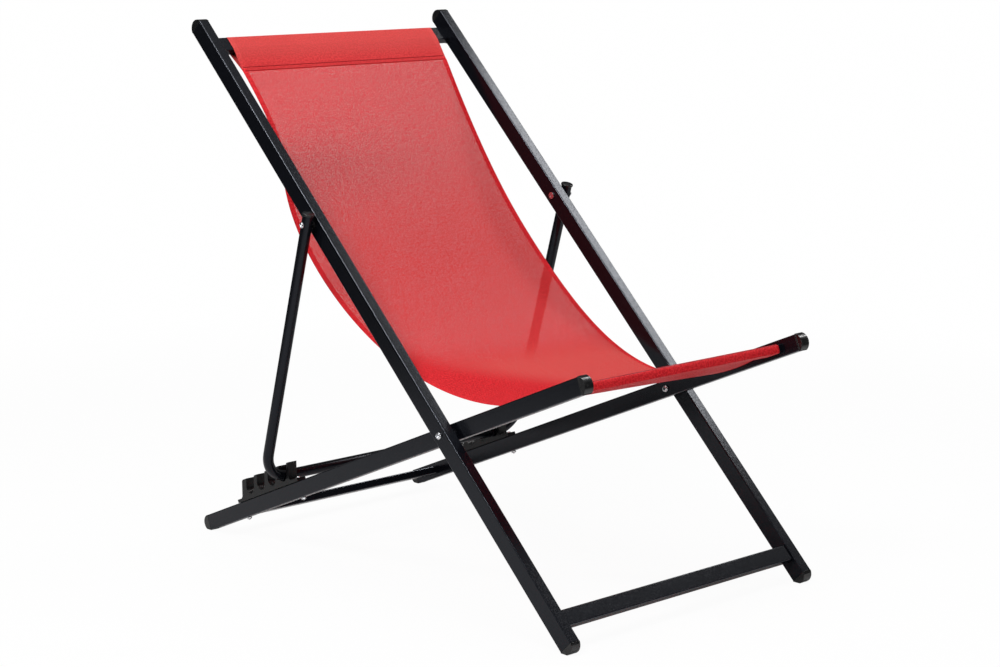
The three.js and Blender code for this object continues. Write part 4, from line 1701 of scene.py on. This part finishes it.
@dataclass(frozen=True)
class Studio:
    """Camera, floor and lamps. The floor's distances are from the chair's middle."""

    eye: tuple[float, float, float] = (-2.63694, -2.82209, 1.12504)
    yaw: float = 0.74876
    pitch: float = 0.24007
    focal: float = 2257.72
    centre: tuple[float, float] = (484.304, 457.524)
    picture: tuple[float, float] = (1000.0, 667.0)
    sensor: float = 36.0
    floor_size: float = 80.0
    paper: Colour = (0.86, 0.86, 0.86, 1.0)
    # Painted shade: a dark ring of floor round the chair, which the coat reflects.
    dusk: Colour = (0.1, 0.1, 0.1, 1.0)
    rear: Colour = (0.4, 0.42, 0.46, 1.0)
    white: Colour = (1.0, 1.0, 1.0, 1.0)
    paper_to_dusk: tuple[float, float] = (1.0, 2.6)
    dusk_to_rear: tuple[float, float] = (3.2, 4.6)
    shadow_to_glow: tuple[float, float] = (0.9, 2.6)
    glow: tuple[float, float] = (0.955, 0.998)
    fill: float = 0.1
    backdrop: float = 1.0
    lamps: tuple[Softbox, ...] = (
        Softbox("key_softbox", (-2.27, -0.3, 2.8), (-0.29, 0.15, 0.6), (1.3, 0.5), 58.0, radians(-29)),
        Softbox("front_softbox", (-1.0, -3.0, 2.0), (0.0, -0.1, 0.5), (2.0, 1.4), 34.0),
        Softbox("top_softbox", (0.0, 0.4, 3.3), (0.0, 0.0, 0.4), (2.0, 2.0), 42.0),
        Softbox("far_strip", (2.76, -0.46, 2.97), (0.28, 0.1, 0.6), (1.4, 0.4), 28.0, radians(40)),
        Softbox("sky_panel", (2.6, -0.9, 3.5), (0.0, 0.0, 0.5), (3.2, 2.6), 8.0, radians(40)),
    )

    def build(self) -> None:
        """Sets the camera, the floor, the world and the lamps."""
        self._camera()
        self._floor()
        self._world()
        for lamp in self.lamps:
            lamp.build()
        bpy.context.scene.view_settings.view_transform = "Standard"

    def _camera(self) -> None:
        """Places the camera as the photograph's."""
        lens = bpy.data.cameras.new("photo_camera")
        lens.sensor_width = self.sensor
        lens.lens = self.focal * self.sensor / self.picture[0]
        lens.shift_x = (self.picture[0] / 2 - self.centre[0]) / self.picture[0]
        lens.shift_y = (self.centre[1] - self.picture[1] / 2) / self.picture[0]
        lens.clip_end = 200.0
        camera = bpy.data.objects.new("photo_camera", lens)
        camera.location = self.eye
        camera.rotation_euler = (pi / 2 - self.pitch, 0.0, -self.yaw)
        bpy.context.scene.collection.objects.link(camera)
        bpy.context.scene.camera = camera

    def _floor(self) -> None:
        """Adds the pale floor, which the camera sees nearly white and which keeps a soft shadow. Its own
        colour, which the camera sees only faintly, falls from pale to a dark ring of painted shade between
        one and 2.6 metres out, and turns to a bluish grey between 3.2 and 4.6 metres.
        """
        Bench.clear()
        bpy.ops.mesh.primitive_plane_add(size=self.floor_size)
        floor = Bench.named("floor")
        sheet = NodeSheet("pale_floor")
        output = next(n for n in sheet.tree.nodes if n.type == "OUTPUT_MATERIAL")
        sheet.tree.nodes.remove(sheet.shader)
        matte = sheet.add("ShaderNodeBsdfDiffuse")
        glow = sheet.add("ShaderNodeEmission")
        sheet.feed(glow.inputs["Color"], self.white)
        path = sheet.add("ShaderNodeLightPath")
        mix = sheet.add("ShaderNodeMixShader")
        reach = sheet.add("ShaderNodeVectorMath", operation="LENGTH")
        sheet.feed(reach.inputs[0], sheet.place())
        away = reach.outputs["Value"]
        # Painted shade: the floor's own colour turns dark past a metre, then bluish grey further out.
        near = sheet.blend(sheet.span(away, *self.paper_to_dusk, 0.0, 1.0), self.paper, self.dusk)
        far = sheet.span(away, *self.dusk_to_rear, 0.0, 1.0)
        sheet.feed(matte.inputs["Color"], sheet.blend(far, near, self.rear))
        glowing = sheet.span(away, *self.shadow_to_glow, *self.glow)
        sheet.feed(mix.inputs[0], sheet.math("MULTIPLY", path.outputs["Is Camera Ray"], glowing))
        sheet.feed(mix.inputs[1], matte.outputs[0])
        sheet.feed(mix.inputs[2], glow.outputs[0])
        sheet.feed(output.inputs["Surface"], mix.outputs[0])
        floor.data.materials.append(sheet.material)

    def _world(self) -> None:
        """Lights the scene evenly, with white where the camera looks past the floor."""
        world = bpy.data.worlds.new("studio")
        bpy.context.scene.world = world
        world.use_nodes = True
        tree = world.node_tree
        background = next(n for n in tree.nodes if n.type == "BACKGROUND")
        path = tree.nodes.new("ShaderNodeLightPath")
        level = tree.nodes.new("ShaderNodeMapRange")
        tree.links.new(path.outputs["Is Camera Ray"], level.inputs[0])
        level.inputs[3].default_value = self.fill
        level.inputs[4].default_value = self.backdrop
        background.inputs[0].default_value = self.white
        tree.links.new(level.outputs[0], background.inputs[1])


def main() -> None:
    """Builds the studio and the chair, one sub-assembly after another."""
    logging.basicConfig(level=logging.INFO, format="%(name)s %(message)s")
    Studio().build()
    shop = Assembly(Finishes())
    for group in (BackFrame, SeatFrame, Racks, Prop, Fasteners, Sling):
        group(shop).build()
    Bench.clear()


if __name__ == "__main__":
    main()
